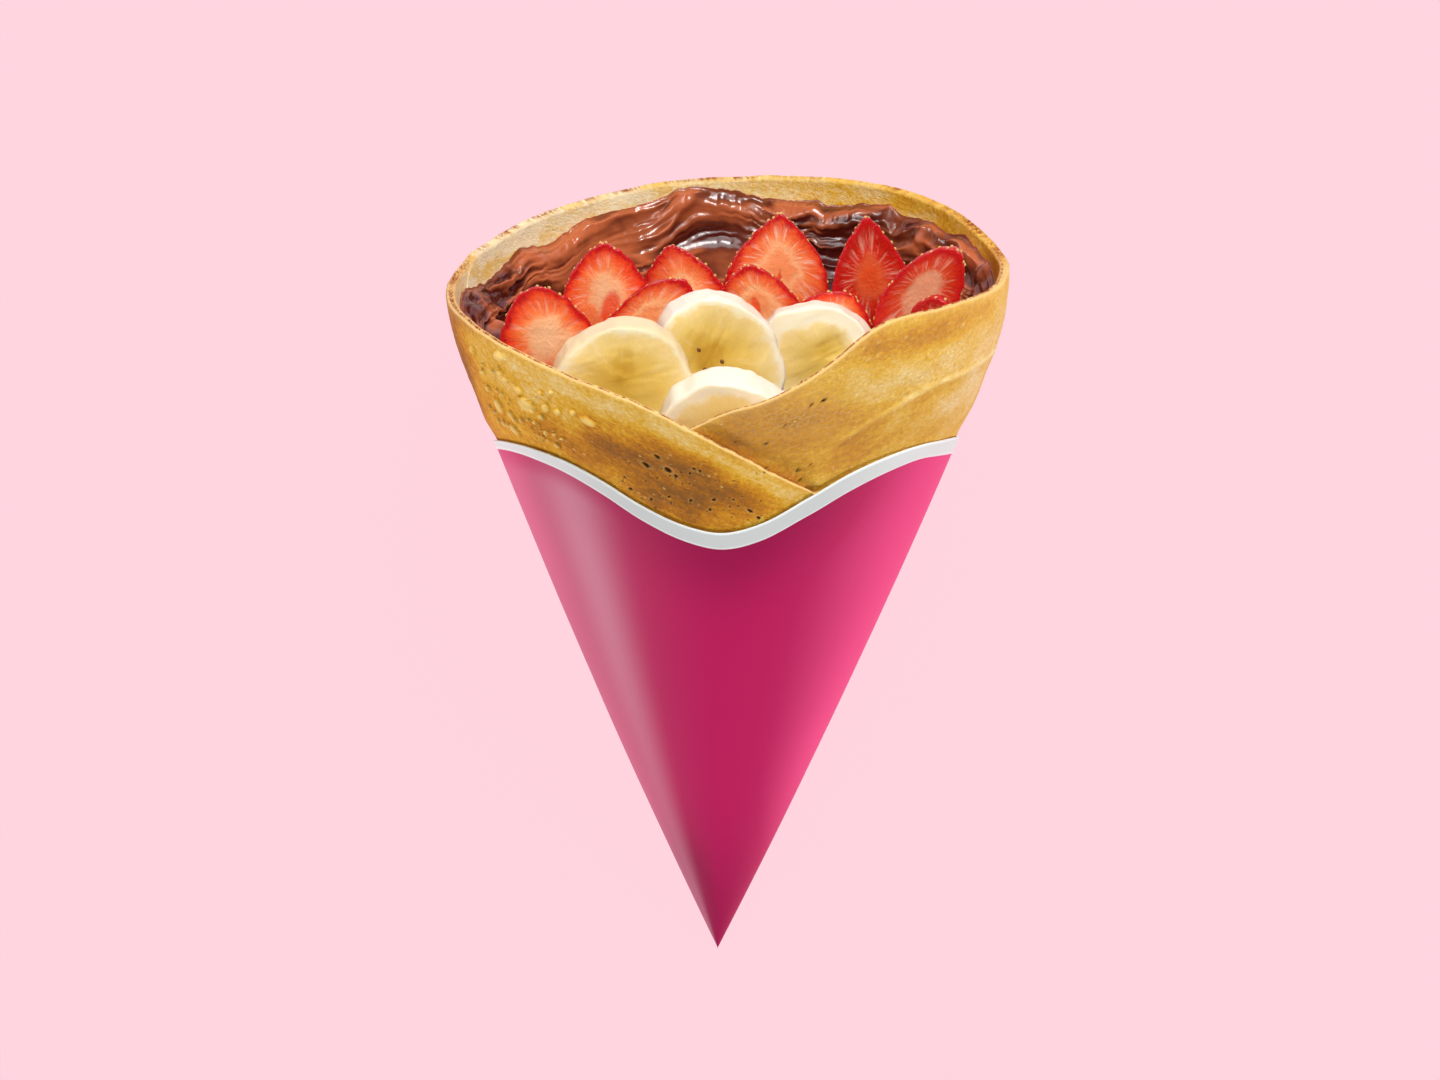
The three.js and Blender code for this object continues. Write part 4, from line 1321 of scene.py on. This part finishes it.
@dataclass
class ChocolateSpread:
    """Spread smeared up the inside of the back and filling round the slices' feet."""

    crepe: Crepe
    columns: int = 640
    back_crowding: float = 0.45
    hidden_rows: int = 3
    wall_rows: int = 76
    floor_rows: int = 58
    foot: float = 140.0
    lining: float = 2.4
    floor_front: float = 154.0
    floor_mound: float = 166.0
    floor_back: float = 157.0
    ridge: float = 1.8
    ruffle: float = 0.6
    smoothing_rounds: int = 6
    pools: tuple[Cloud, ...] = ((1, 7, 19, 11, 5), (1, -42, 9, 13, 4), (1, 38, 10, 9, 6))
    # Patches of painted sheen and painted shade.
    sheen_and_shade_clouds: tuple[Cloud, ...] = (
        (0.4, 2, 5, 12, 2.6), (-0.35, -2, 13, 12, 3), (0.4, -3, 22, 14, 6),
        (0.45, 30, 8, 12, 6),
    )

    def edge(self, azimuth: Array) -> Array:
        """Height of the ragged upper edge."""
        turn = skin_place(unbroken(azimuth), azimuth * 0)
        return through(SPREAD_EDGE, azimuth) + 0.4 * noise(turn, 3.2, 41, 3)

    def floor(self, side: Array, back: Array) -> Array:
        """Height of the surface between the walls.

        It steps up from the front to the mound that the strawberries stand in, nearer to
        the front on the right and more gently on the far left, and falls off at the back.
        """
        far_left = smooth(-side, 26, 36)
        start = -9 - 23 * smooth(side, 30, 42) - 7 * far_left
        mound = smooth((back - start) / (12 + 14 * far_left), 0, 1)
        level = self.floor_front + (self.floor_mound - self.floor_front) * mound
        return level - (self.floor_mound - self.floor_back) * smooth(back, 22, 38)

    def surface(self, azimuth: Array, edge: Array) -> tuple[Array, Array, Array]:
        """The spread's plain surface: up behind the wall, down its front, in over the floor.

        Args:
            azimuth: The columns' azimuths.
            edge: Height of the upper edge at each.

        Returns:
            Radius and height, as grids of rows by columns, and the wall's radius at the
            floor's edge.
        """
        turn_sin, turn_cos = np.sin(np.radians(azimuth)), np.cos(np.radians(azimuth))
        rows: list[tuple[Array, Array]] = []
        for share in np.linspace(0, 1, self.hidden_rows):
            height = self.foot + (edge - self.foot) * share
            rows.append((self.crepe.inner_radius(azimuth, height) + 0.2, height))
        reach = self.crepe.inner_radius(azimuth, edge) - self.lining
        floor_edge = np.minimum(self.floor(reach * turn_sin, -reach * turn_cos), edge - 2)
        for share in np.linspace(0, 1, self.wall_rows) ** 1.2:
            height = edge + (floor_edge - edge) * share
            thick = 0.25 + self.lining * smooth(edge - height, 0, 5.0)
            rows.append((self.crepe.inner_radius(azimuth, height) - thick, height))
        wall = rows[-1][0]
        for share in np.linspace(1, 0.02, self.floor_rows + 1)[1:]:
            level = self.floor(wall * share * turn_sin, -wall * share * turn_cos)
            rows.append((wall * share, level + (floor_edge - level) * smooth(share, 0.86, 1.0)))
        radius, height = (np.array(column) for column in zip(*rows))
        first = self.hidden_rows + 4
        for _ in range(self.smoothing_rounds):
            for grid in (radius, height):
                middle = grid[first:-1]
                middle += 0.5 * ((grid[first - 1 : -2] + grid[first + 1 :]) / 2 - middle)
        return radius, height, wall

    def smears(self, azimuth: Array, below: Array) -> tuple[Array, Array, Array]:
        """Strokes of the spoon, which run along the upper edge.

        Args:
            azimuth: Azimuths of the points.
            below: How far they lie below the upper edge.

        Returns:
            The strokes' relief in millimetres, their crests from 0 to 1, and where each
            point lies along and across them.
        """
        along = -np.radians(np.mod(azimuth, 360.0) - 180.0) * SKIN_RADIUS
        # The strokes are noises drawn out along the edge, which wander and rise to the sides.
        place = np.stack([along, below, 0 * along], axis=-1)
        drift = 3.0 * noise(place, (22.0, 12.0, 9.0), 43) + 0.4 * noise(place, (7.0, 5.0, 9.0), 47)
        slope = 0.16 * np.abs(along + 20) * (along > -20) - 0.05 * along
        strokes = np.stack([along, below + drift + 0.25 * slope, 0 * along], axis=-1)
        broad = 1 - np.abs(noise(strokes, (26.0, 4.6, 9.0), 44)) * 2.6
        sharp = 1 - np.abs(noise(strokes, (17.0, 2.4, 9.0), 45, 2)) * 2.2
        # Smooth pools between the strokes, a rougher right and left, a rolled upper edge.
        pool = np.clip(clouds(along, below, self.pools), 0, 1)
        rough = smooth(np.abs(along + 4), 46, 70)
        high = 1 - smooth(below, 12, 18) * (1 - 0.6 * smooth(-along, 16, 34))
        rolled = band(below, 0.3, 1.5, 3.5, 6.0)
        relief = self.ridge * 0.6 * broad * (1 - 0.75 * pool) * high
        relief = relief + self.ruffle * sharp * (1 - pool) * (0.6 + 0.5 * rough) * high
        relief = relief + (0.5 * rough + 0.35 * rolled) * noise(place, 3.4, 46, 2)
        relief = relief + 0.5 * rolled - 0.35 * pool - 0.09 * np.maximum(below - 12, 0)
        crest = np.clip(0.5 * broad + 0.5 * sharp, 0, 1) * (1 - pool)
        return relief, crest, strokes / np.array([9.0, 1.1, 9.0])

    def milky(self, from_back: Array, below: Array, inward: Array) -> Array:
        """Where the smear is paler or darker than its strokes make it: painted sheen at its top
        and in its pools, painted shade right of the back, darker towards the far left.
        """
        milky = 0.22 + 0.04 * smooth(-from_back, 36, 50) - 0.38 * smooth(from_back, 34, 74)
        milky = milky - 0.35 * bell(from_back, -24, 12)
        milky = milky + clouds(from_back, below, self.sheen_and_shade_clouds)
        return milky * (1 - smooth(np.abs(from_back), 90, 130)) * smooth(inward, 0.4, 0.85)

    def build(self) -> bpy.types.Object:
        """Makes the spread as one closed body."""
        even = np.linspace(-180, 180, self.columns, endpoint=False)
        azimuth = even + self.back_crowding * np.degrees(np.sin(np.radians(even)))
        edge = self.edge(azimuth)
        radius, height, wall = self.surface(azimuth, edge)
        turn = np.broadcast_to(azimuth, radius.shape)
        from_back, below = np.mod(turn, 360.0) - 180.0, edge[None, :] - height
        inward = radius / np.maximum(wall, 1)
        points = cone_points(turn, radius, height)
        shown = slice(self.hidden_rows, None)
        relief, crest, strokes = self.smears(turn[shown], below[shown])
        on_wall = smooth(inward[shown], 0.88, 0.98)
        lumps = 0.7 * noise(points[shown], 6.0, 48, 3)
        rise = smooth(below[shown], 0.1, 2.2) * (relief * on_wall + lumps * (1 - on_wall))
        off_hub = smooth(inward[shown], 0.04, 0.3)[..., None]
        facing = grid_normals(points[shown]) * off_hub + np.array([0.0, 0.0, 1.0]) * (1 - off_hub)
        points[shown] += facing * rise[..., None] * (0.2 + 0.8 * off_hub)
        combed = smooth(noise(points[shown], 16.0, 49), -0.1, 0.35) * smooth(crest, 0.0, 0.3)
        combed = combed * (1 - smooth(np.abs(from_back[shown]), 48, 64)) * on_wall
        buried = ((self.hidden_rows, 0), (0, 0))
        fields = {
            "milky": self.milky(from_back, below, inward),
            "flow": points * (0.5, 1.0, 1.0),
            "strokes": np.pad(strokes, (*buried, (0, 0))),
            "combed": np.pad(combed, buried),
            # Crests carry the painted light and painted shade of the spread's colour.
            "crest": np.pad(crest * on_wall, buried),
            "thin": 0.7 * np.pad(1 - smooth(below[shown], 0.0, 1.6), buried, constant_values=1.0),
        }
        hubs = np.array([[0, 0, self.foot], [0, 0, points[-1, :, 2].mean()]])
        draft = MeshDraft()
        draft.add_tube(points, hubs, fields)
        piece = draft.build("chocolate_smeared", [HazelnutSpread().build()])
        return settle(piece, "chocolate_spread", "chocolate")


# -------------------------------------------------------------------------- the slices


@dataclass
class FruitSlice:
    """A cut slice that stands in the cone with its face to the front.

    The size is width, length and thickness. The pose is turn, lean and yaw in degrees:
    turn spins the slice in its own plane, lean tips its top backwards and yaw swings it
    round the cone's axis. The hub is the middle of what is seen in the cut face.
    """

    name: str
    at: Vec3
    size: Vec3
    pose: Vec3
    seed: int
    hub: tuple[float, float] = (0.0, 0.0)
    slot: str = ""
    columns: int = 144
    front_rings: int = 26
    back_rings: int = 8
    unevenness: float = 0.35

    @property
    def pattern_depth(self) -> float:
        """Where in its noises the slice lies, so that no two slices look alike."""
        return self.seed * 40.0

    def axes(self) -> Array:
        """The slice's own axes (right, tip, face) as rows in the cone's frame."""
        turn, lean, yaw = (math.radians(v) for v in self.pose)
        right, tip, face = np.array([1.0, 0, 0]), np.array([0, 0, 1.0]), np.array([0, -1.0, 0])

        def spun(vector: Array, axis: Array, angle: float) -> Array:
            """A vector turned round an axis."""
            along = axis * (vector @ axis) * (1 - math.cos(angle))
            return vector * math.cos(angle) + np.cross(axis, vector) * math.sin(angle) + along

        set_axes = [spun(spun(v, right, -lean), tip, yaw) for v in (right, tip, face)]
        return np.array([spun(v, set_axes[2], turn) for v in set_axes])

    def in_cone(self, local: Array) -> Array:
        """Places of the slice's own frame (right, tip, lift) in the cone's frame."""
        return np.array(self.at) + np.asarray(local) @ self.axes()

    def outline(self, angle: Array) -> Array:
        """The cut outline in the slice's own plane."""
        raise NotImplementedError

    def profile(self) -> Stations:
        """(share of the thickness, share of the outline) from the back to the front."""
        raise NotImplementedError

    def relief(self, place: Array, rho: Array) -> Array:
        """How far the front face bulges, in millimetres."""
        raise NotImplementedError

    def marks(self, place: Array) -> dict[str, Array]:
        """Further fields of the cut face."""
        raise NotImplementedError

    def add_seeds(self, draft: MeshDraft) -> None:
        """Adds the seeds to a draft."""
        raise NotImplementedError

    def materials(self) -> list[bpy.types.Material]:
        """Makes the flesh's and the seeds' materials."""
        raise NotImplementedError

    def dimple(self, angle: Array, lift: Array) -> Array:
        """How far the skin is drawn in at a place of the rim, in millimetres."""
        return np.zeros(np.broadcast(angle, lift).shape)

    def add_body(self, draft: MeshDraft) -> None:
        """Adds the slice's closed body to a draft."""
        angle = 2 * np.pi * np.arange(self.columns) / self.columns
        outline, hub = self.outline(angle), np.array(self.hub)
        thick, profile = self.size[2], self.profile()
        (back, back_scale), (front, front_scale) = profile[0], profile[-1]
        inward = np.arange(self.front_rings - 1, 0, -1) / self.front_rings
        outward = np.arange(1, self.back_rings) / self.back_rings
        # Each ring's share of the outline, its share of the thickness, and how far it
        # belongs to the side: out over the back, up the side, in over the cut face.
        rings = [(share * back_scale, back, 0.0) for share in outward]
        rings += [(scale, share, 1.0) for share, scale in profile[:-1]]
        rings += [(front_scale, front, 0.3)]
        rings += [(share * front_scale, front, 0.0) for share in inward]
        scale, share, side = (np.array(v)[:, None] * np.ones(self.columns) for v in zip(*rings))
        plane = hub + (outline - hub) * scale[..., None]
        depth = np.full(scale.shape + (1,), self.pattern_depth)
        place = np.concatenate([plane, depth], axis=-1)
        rho = np.clip(scale / front_scale, 0, 1)
        lift = share * thick + self.relief(place, rho) * np.sign(share) * (1 - side)
        rough = np.concatenate([plane, lift[..., None] + self.seed * 9], axis=-1)
        uneven = self.unevenness * noise(rough, 5.0, self.seed, 3) * smooth(scale, 0.5, 0.9)
        # The rim is pushed in and out along the spokes from the hub.
        drawn = self.dimple(angle[None, :], lift) * smooth(scale, 0.86, 0.97)
        reach = np.linalg.norm(plane - hub, axis=-1)
        grow = 1 + (uneven - drawn) / np.maximum(reach, 1.0)
        plane = hub + (plane - hub) * grow[..., None]
        local = np.concatenate([plane, lift[..., None]], axis=-1)
        bulge = self.relief(np.array([[*self.hub, self.pattern_depth]]), np.zeros(1))[0]
        hubs = np.array([[*self.hub, back * thick - bulge], [*self.hub, front * thick + bulge]])
        turn = np.arctan2(*(outline - hub).T[::-1])
        rays = np.stack(np.broadcast_arrays(np.cos(turn), np.sin(turn), rho), axis=-1)
        fields = {"rho": rho, "side": side, "place": place, "rays": rays, **self.marks(place)}
        draft.add_tube(self.in_cone(local), self.in_cone(hubs), fields)

    def build(self) -> bpy.types.Object:
        """Makes the slice with its seeds."""
        draft = MeshDraft()
        self.add_body(draft)
        self.add_seeds(draft)
        return settle(draft.build(self.name + "_slice", self.materials()), self.name, self.slot)


@dataclass
class StrawberrySlice(FruitSlice):
    """A strawberry cut lengthwise, with seeds sunk into the skin along its rim."""

    slot: str = "strawberry"
    taper: float = 0.5
    ripeness: Ripeness = Ripeness.BRIGHT
    heart: float = 0.2
    halo: float = 0.34
    veins: float = 0.5
    hollows: tuple[Spot, ...] = ()
    blunt: float = 0.13
    seed_gap: float = 4.8
    seed_rows: tuple[float, ...] = (0.34, 0.0)
    seed_axes: Vec3 = (0.45, 0.68, 0.34)
    seed_sunk: float = 0.36
    dimple_depth: float = 0.34
    dimple_reach: tuple[float, float] = (0.9, 1.0)

    def outline(self, angle: Array) -> Array:
        """A tear shape with a blunt tip at angle 0."""
        dense = np.linspace(0, 2 * np.pi, 721)
        wide, narrow = (
            np.sin(turn) * np.hypot(np.sin(turn / 2), self.blunt) ** self.taper
            for turn in (dense, angle)
        )
        across = self.size[0] / 2 * narrow / np.abs(wide).max()
        return np.stack([across, self.size[1] / 2 * np.cos(angle)], axis=-1)

    def profile(self) -> Stations:
        """The berry's rounding towards the back, then a crisp cut edge."""
        return (
            (-0.5, 0.80), (-0.44, 0.84), (-0.35, 0.875), (-0.22, 0.915), (-0.08, 0.945),
            (0.06, 0.967), (0.2, 0.985), (0.32, 0.996), (0.41, 1.0), (0.47, 0.993), (0.5, 0.975),
        )

    def relief(self, place: Array, rho: Array) -> Array:
        """A faint dome, a little wavy, sunk where the face has its hollows."""
        wave = 0.22 * noise(place, 4.5, self.seed, 3) * (1 - rho**4)
        return 0.35 * (1 - rho**2) + wave - 0.35 * strongest(self.hollows, place)

    def marks(self, place: Array) -> dict[str, Array]:
        """The hollows' shade."""
        return {"hollow": smooth(strongest(self.hollows, place), 0.0, 0.7) * 0.8}

    def seed_places(self) -> list[tuple[float, float]]:
        """Each seed's angle on the rim and its share of the thickness."""
        picks = np.random.default_rng(self.seed)
        count = max(6, int(math.pi * (self.size[0] + self.size[1]) / 2 / self.seed_gap))
        return [
            (2 * np.pi * (k + 0.5 * row + picks.uniform(-0.22, 0.22)) / count, share)
            for row, share in enumerate(self.seed_rows)
            for k in range(count)
        ]

    def dimple(self, angle: Array, lift: Array) -> Array:
        """The skin is drawn in round each seed."""
        mean_radius = (self.size[0] + self.size[1]) / 4
        drawn = np.zeros(np.broadcast(angle, lift).shape)
        for at, share in self.seed_places():
            off = (np.mod(angle - at + np.pi, 2 * np.pi) - np.pi) * mean_radius
            dimple = (self.dimple_depth, 0, share * self.size[2], *self.dimple_reach)
            drawn += clouds(off, lift, [dimple])
        return drawn

    def add_seeds(self, draft: MeshDraft) -> None:
        """Sets seeds into the skin along the rim."""
        face = self.axes()[2]
        for at, share in self.seed_places():
            angle = np.array([at])
            spot = self.outline(angle)[0]
            after = self.outline(angle + 0.02)[0] - self.outline(angle - 0.02)[0]
            tangent = after / max(float(np.linalg.norm(after)), 1e-9)
            outward = np.array([-tangent[1], tangent[0]])
            outward = outward if outward @ spot > 0 else -outward
            along, out = (vector @ self.axes()[:2] for vector in (tangent, outward))
            centre = self.in_cone([*spot, share * self.size[2]]) - self.seed_sunk * out
            shape = np.array([along, face, out]) * np.array(self.seed_axes)[:, None]
            draft.add(*ellipsoid(centre, shape), {}, slot=1)

    def materials(self) -> list[bpy.types.Material]:
        """Makes the flesh's and the seeds' materials."""
        flesh = StrawberryFlesh(
            f"{self.name}_cut_wet", self.ripeness, self.heart, self.halo, self.veins
        )
        return [flesh.build(), Husk("strawberry_seed_husk", "#F0CE7C", "#C98A3C").build()]


@dataclass
class BananaSlice(FruitSlice):
    """A slice across a banana: a round with blunt corners, where knife and peel left them."""

    slot: str = "banana"
    corners: int = 11
    cornered: float = 0.45
    core: Vec3 = (0.0, 0.0, 0.0)
    dots: tuple[tuple[float, float], ...] = ()
    seed_axes: Vec3 = (0.5, 0.65, 0.25)
    paler: float = 0.0
    side: str = "#FFF7E0"
    unevenness: float = 0.5

    def outline(self, angle: Array) -> Array:
        """A round mixed with an uneven polygon."""
        picks = np.random.default_rng(self.seed)
        turns = np.arange(self.corners) + picks.uniform(-0.3, 0.3, self.corners)
        turns = np.sort(turns * 2 * np.pi / self.corners)
        turns = np.concatenate([turns, [turns[0] + 2 * np.pi]])
        turned = turns[0] + np.mod(angle - turns[0], 2 * np.pi)
        side = np.clip(np.searchsorted(turns, turned, side="right") - 1, 0, self.corners - 1)
        half = (turns[side + 1] - turns[side]) / 2
        flat = np.cos(half) / np.cos(turned - turns[side] - half)
        reach = 1 + self.cornered * (flat - flat.mean())
        across = self.size[0] / 2 * reach * np.sin(angle)
        return np.stack([across, self.size[1] / 2 * reach * np.cos(angle)], axis=-1)

    def profile(self) -> Stations:
        """Straight sides with small rounded edges."""
        return (
            (-0.5, 0.955), (-0.485, 0.975), (-0.45, 0.99), (-0.36, 1.0), (-0.2, 1.0),
            (0.0, 1.0), (0.2, 1.0), (0.36, 1.0), (0.45, 0.992), (0.485, 0.98), (0.5, 0.96),
        )

    def middle(self, place: Array) -> Array:
        """The honey-coloured middle with its three lobes, from 0 to 1."""
        right, tip, reach = self.core
        across, up = place[..., 0] - right, place[..., 1] - tip
        lobes = 1 + 0.22 * np.cos(3 * np.arctan2(across, up))
        far = np.hypot(across, up) / max(reach, 1e-6) / lobes
        return 1 - smooth(far, 0.45, 1.15)

    def relief(self, place: Array, rho: Array) -> Array:
        """A faint dome with a shallow dip in the middle and the drag marks of the knife."""
        drag = 0.12 * noise(drawn_out(place, 30, 5.0), 1.4, self.seed, 2)
        wave = 0.25 * noise(place, 7.0, self.seed + 5, 2)
        return 0.4 * (1 - rho**2) + (drag + wave) * (1 - rho**6) - 0.35 * self.middle(place)

    def marks(self, place: Array) -> dict[str, Array]:
        """The middle's shade."""
        return {"core": self.middle(place)}

    def add_seeds(self, draft: MeshDraft) -> None:
        """Sets the small dark seeds into the face."""
        shape = self.axes() * np.array(self.seed_axes)[:, None]
        for right, tip in self.dots:
            spot = np.array([[right, tip, self.pattern_depth]])
            rho = np.hypot(right, tip) * 2 / np.mean(self.size[:2])
            lift = self.size[2] / 2 + self.relief(spot, np.array([rho]))[0]
            draft.add(*ellipsoid(self.in_cone([right, tip, lift]), shape), {}, slot=1)

    def materials(self) -> list[bpy.types.Material]:
        """Makes the flesh's and the seeds' materials."""
        flesh = BananaFlesh(f"{self.name}_cut_moist", self.paler, self.side)
        return [flesh.build(), Husk("banana_seed_dark", "#6B3E1C", "#8A5526", 0.5).build()]


STRAWBERRIES = (
    StrawberrySlice(
        "strawberry_a", (-42.6, -10.5, 171.0), (27.5, 25.4, 4.6), (-96, 2, 8), 11, (-1.8, -1.0),
        taper=0.9, ripeness=Ripeness.PALE, heart=0.22, halo=0.4, veins=0.6,
    ),
    StrawberrySlice(
        "strawberry_b", (-29.9, 6, 177.6), (22.3, 26.8, 4.6), (3, 4, 4), 12, (0.0, 1.5),
        taper=0.56, ripeness=Ripeness.PALE, heart=0.16, halo=0.36, veins=0.6,
        hollows=(Spot(0.9, -3.6, 11.0, 5.6, 76),),
    ),
    StrawberrySlice(
        "strawberry_c", (-20.2, -2.5, 172.2), (16.5, 32.0, 4.6), (-41, 0, 0), 13, (-1.5, 3.0),
        taper=0.2, ripeness=Ripeness.BRIGHT, heart=0.22, halo=0.42, veins=0.6,
    ),
    StrawberrySlice(
        "strawberry_d", (-11.2, 15.5, 174.3), (22.0, 26.3, 4.6), (14, 6, 0), 14, (1.0, 2.0),
        taper=0.55, ripeness=Ripeness.BRIGHT, heart=0.2, halo=0.3, veins=0.35,
    ),
    StrawberrySlice(
        "strawberry_e", (12.6, 21, 179.0), (26.5, 30.4, 4.6), (-2, 6, 0), 15, (0.5, 3.2),
        taper=0.85, ripeness=Ripeness.BRIGHT, heart=0.2, halo=0.38, veins=1.0,
        hollows=(Spot(0.4, -3.0, 8.0, 1.4, 86),),
    ),
    StrawberrySlice(
        "strawberry_f", (7.4, 9, 172.4), (23.5, 25.3, 4.6), (10, 2, 0), 16, (1.0, 3.5),
        taper=0.53, ripeness=Ripeness.BRIGHT, heart=0.24, halo=0.42, veins=0.6,
        hollows=(Spot(0.2, 2.0, 6.0, 2.6, 95),),
    ),
    StrawberrySlice(
        "strawberry_g", (26.4, 3.3, 170.7), (22.3, 19.8, 4.6), (-23, 2, 0), 17, (-1.4, 3.0),
        taper=0.39, ripeness=Ripeness.PALE, heart=0.3, halo=0.5, veins=0.6,
    ),
    StrawberrySlice(
        "strawberry_h", (36.0, 16, 179.5), (19.7, 31.1, 4.6), (6, 6, 0), 18, (-0.3, 1.0),
        taper=0.72, ripeness=Ripeness.DEEP, heart=0.16, halo=0.3, veins=0.5,
    ),
    StrawberrySlice(
        "strawberry_i", (47.9, -0.8, 179.6), (17.4, 32.6, 5.0), (-33, 2, -8), 19, (-1.2, 4.0),
        taper=0.2, ripeness=Ripeness.ROSY, heart=0.16, halo=0.32, veins=0.5,
    ),
    StrawberrySlice(
        "strawberry_j", (50.6, -14, 176.8), (13.1, 17.2, 5.0), (-8, 0, -20), 20,
        taper=0.15, ripeness=Ripeness.DEEP, heart=0.1, halo=0.24, veins=0.3,
    ),
)
BANANAS = (
    BananaSlice(
        "banana_1", (-24.8, -32, 165.6), (34.5, 36.0, 8.4), (-19, 0, 6), 31, (-2.0, 4.0),
        core=(-3.0, 8.0, 3.4), side="#F4E2B4",
    ),
    BananaSlice(
        "banana_2", (-1.6, -19, 169.6), (29.2, 35.4, 9.0), (36, 2, 6), 32, (-1.0, 3.0),
        core=(-1.0, 4.5, 5.4), dots=((-2.1, 6.3), (0.7, 0.6), (-3.8, 1.4)),
    ),
    # banana_3's paler face is painted light that lifts it out of the flap's shade.
    BananaSlice(
        "banana_3", (21.7, -7, 163.8), (33.7, 31.8, 7.0), (-3, 6, 0), 33, (2.0, 3.0),
        core=(4.0, 6.0, 4.2), dots=((-2.7, -3.6),), paler=0.25,
    ),
    BananaSlice(
        "banana_4", (0.8, -44, 157.8), (36.2, 35.6, 9.0), (-11, -8, 0), 34, (0.0, 0.0), paler=0.08,
    ),
)


# --------------------------------------------------------------------- floor and light


@dataclass(frozen=True)
class SoftLight:
    """A soft rectangular light that looks at the cone."""

    name: str
    at: Vec3
    size: tuple[float, float]
    power: float
    colour: str = "#FFFFFF"
    sheen_only: bool = False
    target: Vec3 = (0.0, 0.02, 0.06)

    def build(self) -> None:
        """Hangs the light."""
        data = bpy.data.lights.new(self.name, "AREA")
        data.shape = "RECTANGLE"
        data.size, data.size_y = self.size
        data.energy = self.power
        data.color = linear(self.colour)[:3]
        lamp = placed(self.name, data)
        lamp.location = self.at
        aim = Vector(self.target) - lamp.location
        lamp.rotation_mode = "QUATERNION"
        lamp.rotation_quaternion = aim.to_track_quat("-Z", "Y")
        lamp.visible_diffuse = not self.sheen_only


@dataclass
class Studio:
    """A plain pale floor that glows evenly, soft lights and the camera straight above."""

    floor_colour: str = "#1A1416"
    floor_glow: str = "#FFD4DF"
    floor_glow_strength: float = 0.998
    floor_reach: float = 2.5
    air: str = "#FFF6F4"
    air_strength: float = 0.03
    camera_at: Vec3 = (-0.81, 5.99, 1248.0)
    camera_turn: float = 0.01326
    lens: float = 120.0
    sensor_width: float = 36.0
    clip: tuple[float, float] = (0.05, 20.0)
    lights: tuple[SoftLight, ...] = (
        SoftLight("back_high", (0.25, 0.9, 1.3), (0.5, 0.5), 23.0),
        SoftLight("left_high", (-0.8, 0.2, 1.0), (0.5, 0.5), 3.4),
        SoftLight("front_left_low", (-0.70, -0.80, 0.09), (0.5, 0.16), 5.4),
        SoftLight("front_right_low", (0.95, -0.60, 0.12), (0.4, 0.2), 6.6),
        SoftLight("overhead_sheen", (0.05, 0.42, 1.45), (0.9, 0.4), 5.0, sheen_only=True),
        SoftLight("left_sheen", (-1.1, 0.15, 0.9), (0.2, 0.2), 2.6, sheen_only=True),
    )

    def floor(self) -> None:
        """Lays the floor."""
        mesh = bpy.data.meshes.new("floor")
        r = self.floor_reach
        mesh.from_pydata([(-r, -r, 0), (r, -r, 0), (r, r, 0), (-r, r, 0)], [], [(0, 1, 2, 3)])
        plane = placed("floor", mesh)
        mesh.materials.append(Bench("floor_matte_paint").dressed({
            "Base Color": self.floor_colour,
            "Roughness": 1.0,
            "Specular IOR Level": 0.0,
            "Emission Color": self.floor_glow,
            "Emission Strength": self.floor_glow_strength,
        }))

    def camera(self) -> None:
        """Sets the camera straight above the lying cone."""
        data = bpy.data.cameras.new("camera")
        data.lens, data.sensor_width = self.lens, self.sensor_width
        data.clip_start, data.clip_end = self.clip
        eye = placed("camera", data)
        eye.location = [c * MM for c in self.camera_at]
        eye.rotation_euler = (0.0, 0.0, self.camera_turn)
        bpy.context.scene.camera = eye

    def build(self) -> None:
        """Sets up the whole studio."""
        self.floor()
        self.camera()
        for light in self.lights:
            light.build()
        world = bpy.data.worlds.new("studio_air")
        bpy.context.scene.world = world
        world.use_nodes = True
        back = world.node_tree.nodes["Background"]
        back.inputs["Color"].default_value = linear(self.air)
        back.inputs["Strength"].default_value = self.air_strength
        bpy.context.scene.view_settings.view_transform = "Standard"


# -------------------------------------------------------------------------------- main


def main() -> None:
    """Builds every piece in order."""
    logging.basicConfig(level=logging.INFO, format="%(name)s: %(message)s")
    crepe = Crepe()
    makers = (crepe.build, PaperSleeve().build, ChocolateSpread(crepe).build)
    makers += tuple(fruit.build for fruit in (*STRAWBERRIES, *BANANAS))
    for make in makers:
        made = make()
        for piece in made if isinstance(made, list) else [made]:
            log.info("%s: %d faces", piece.name, len(piece.data.polygons))
    Studio().build()


if __name__ == "__main__":
    main()
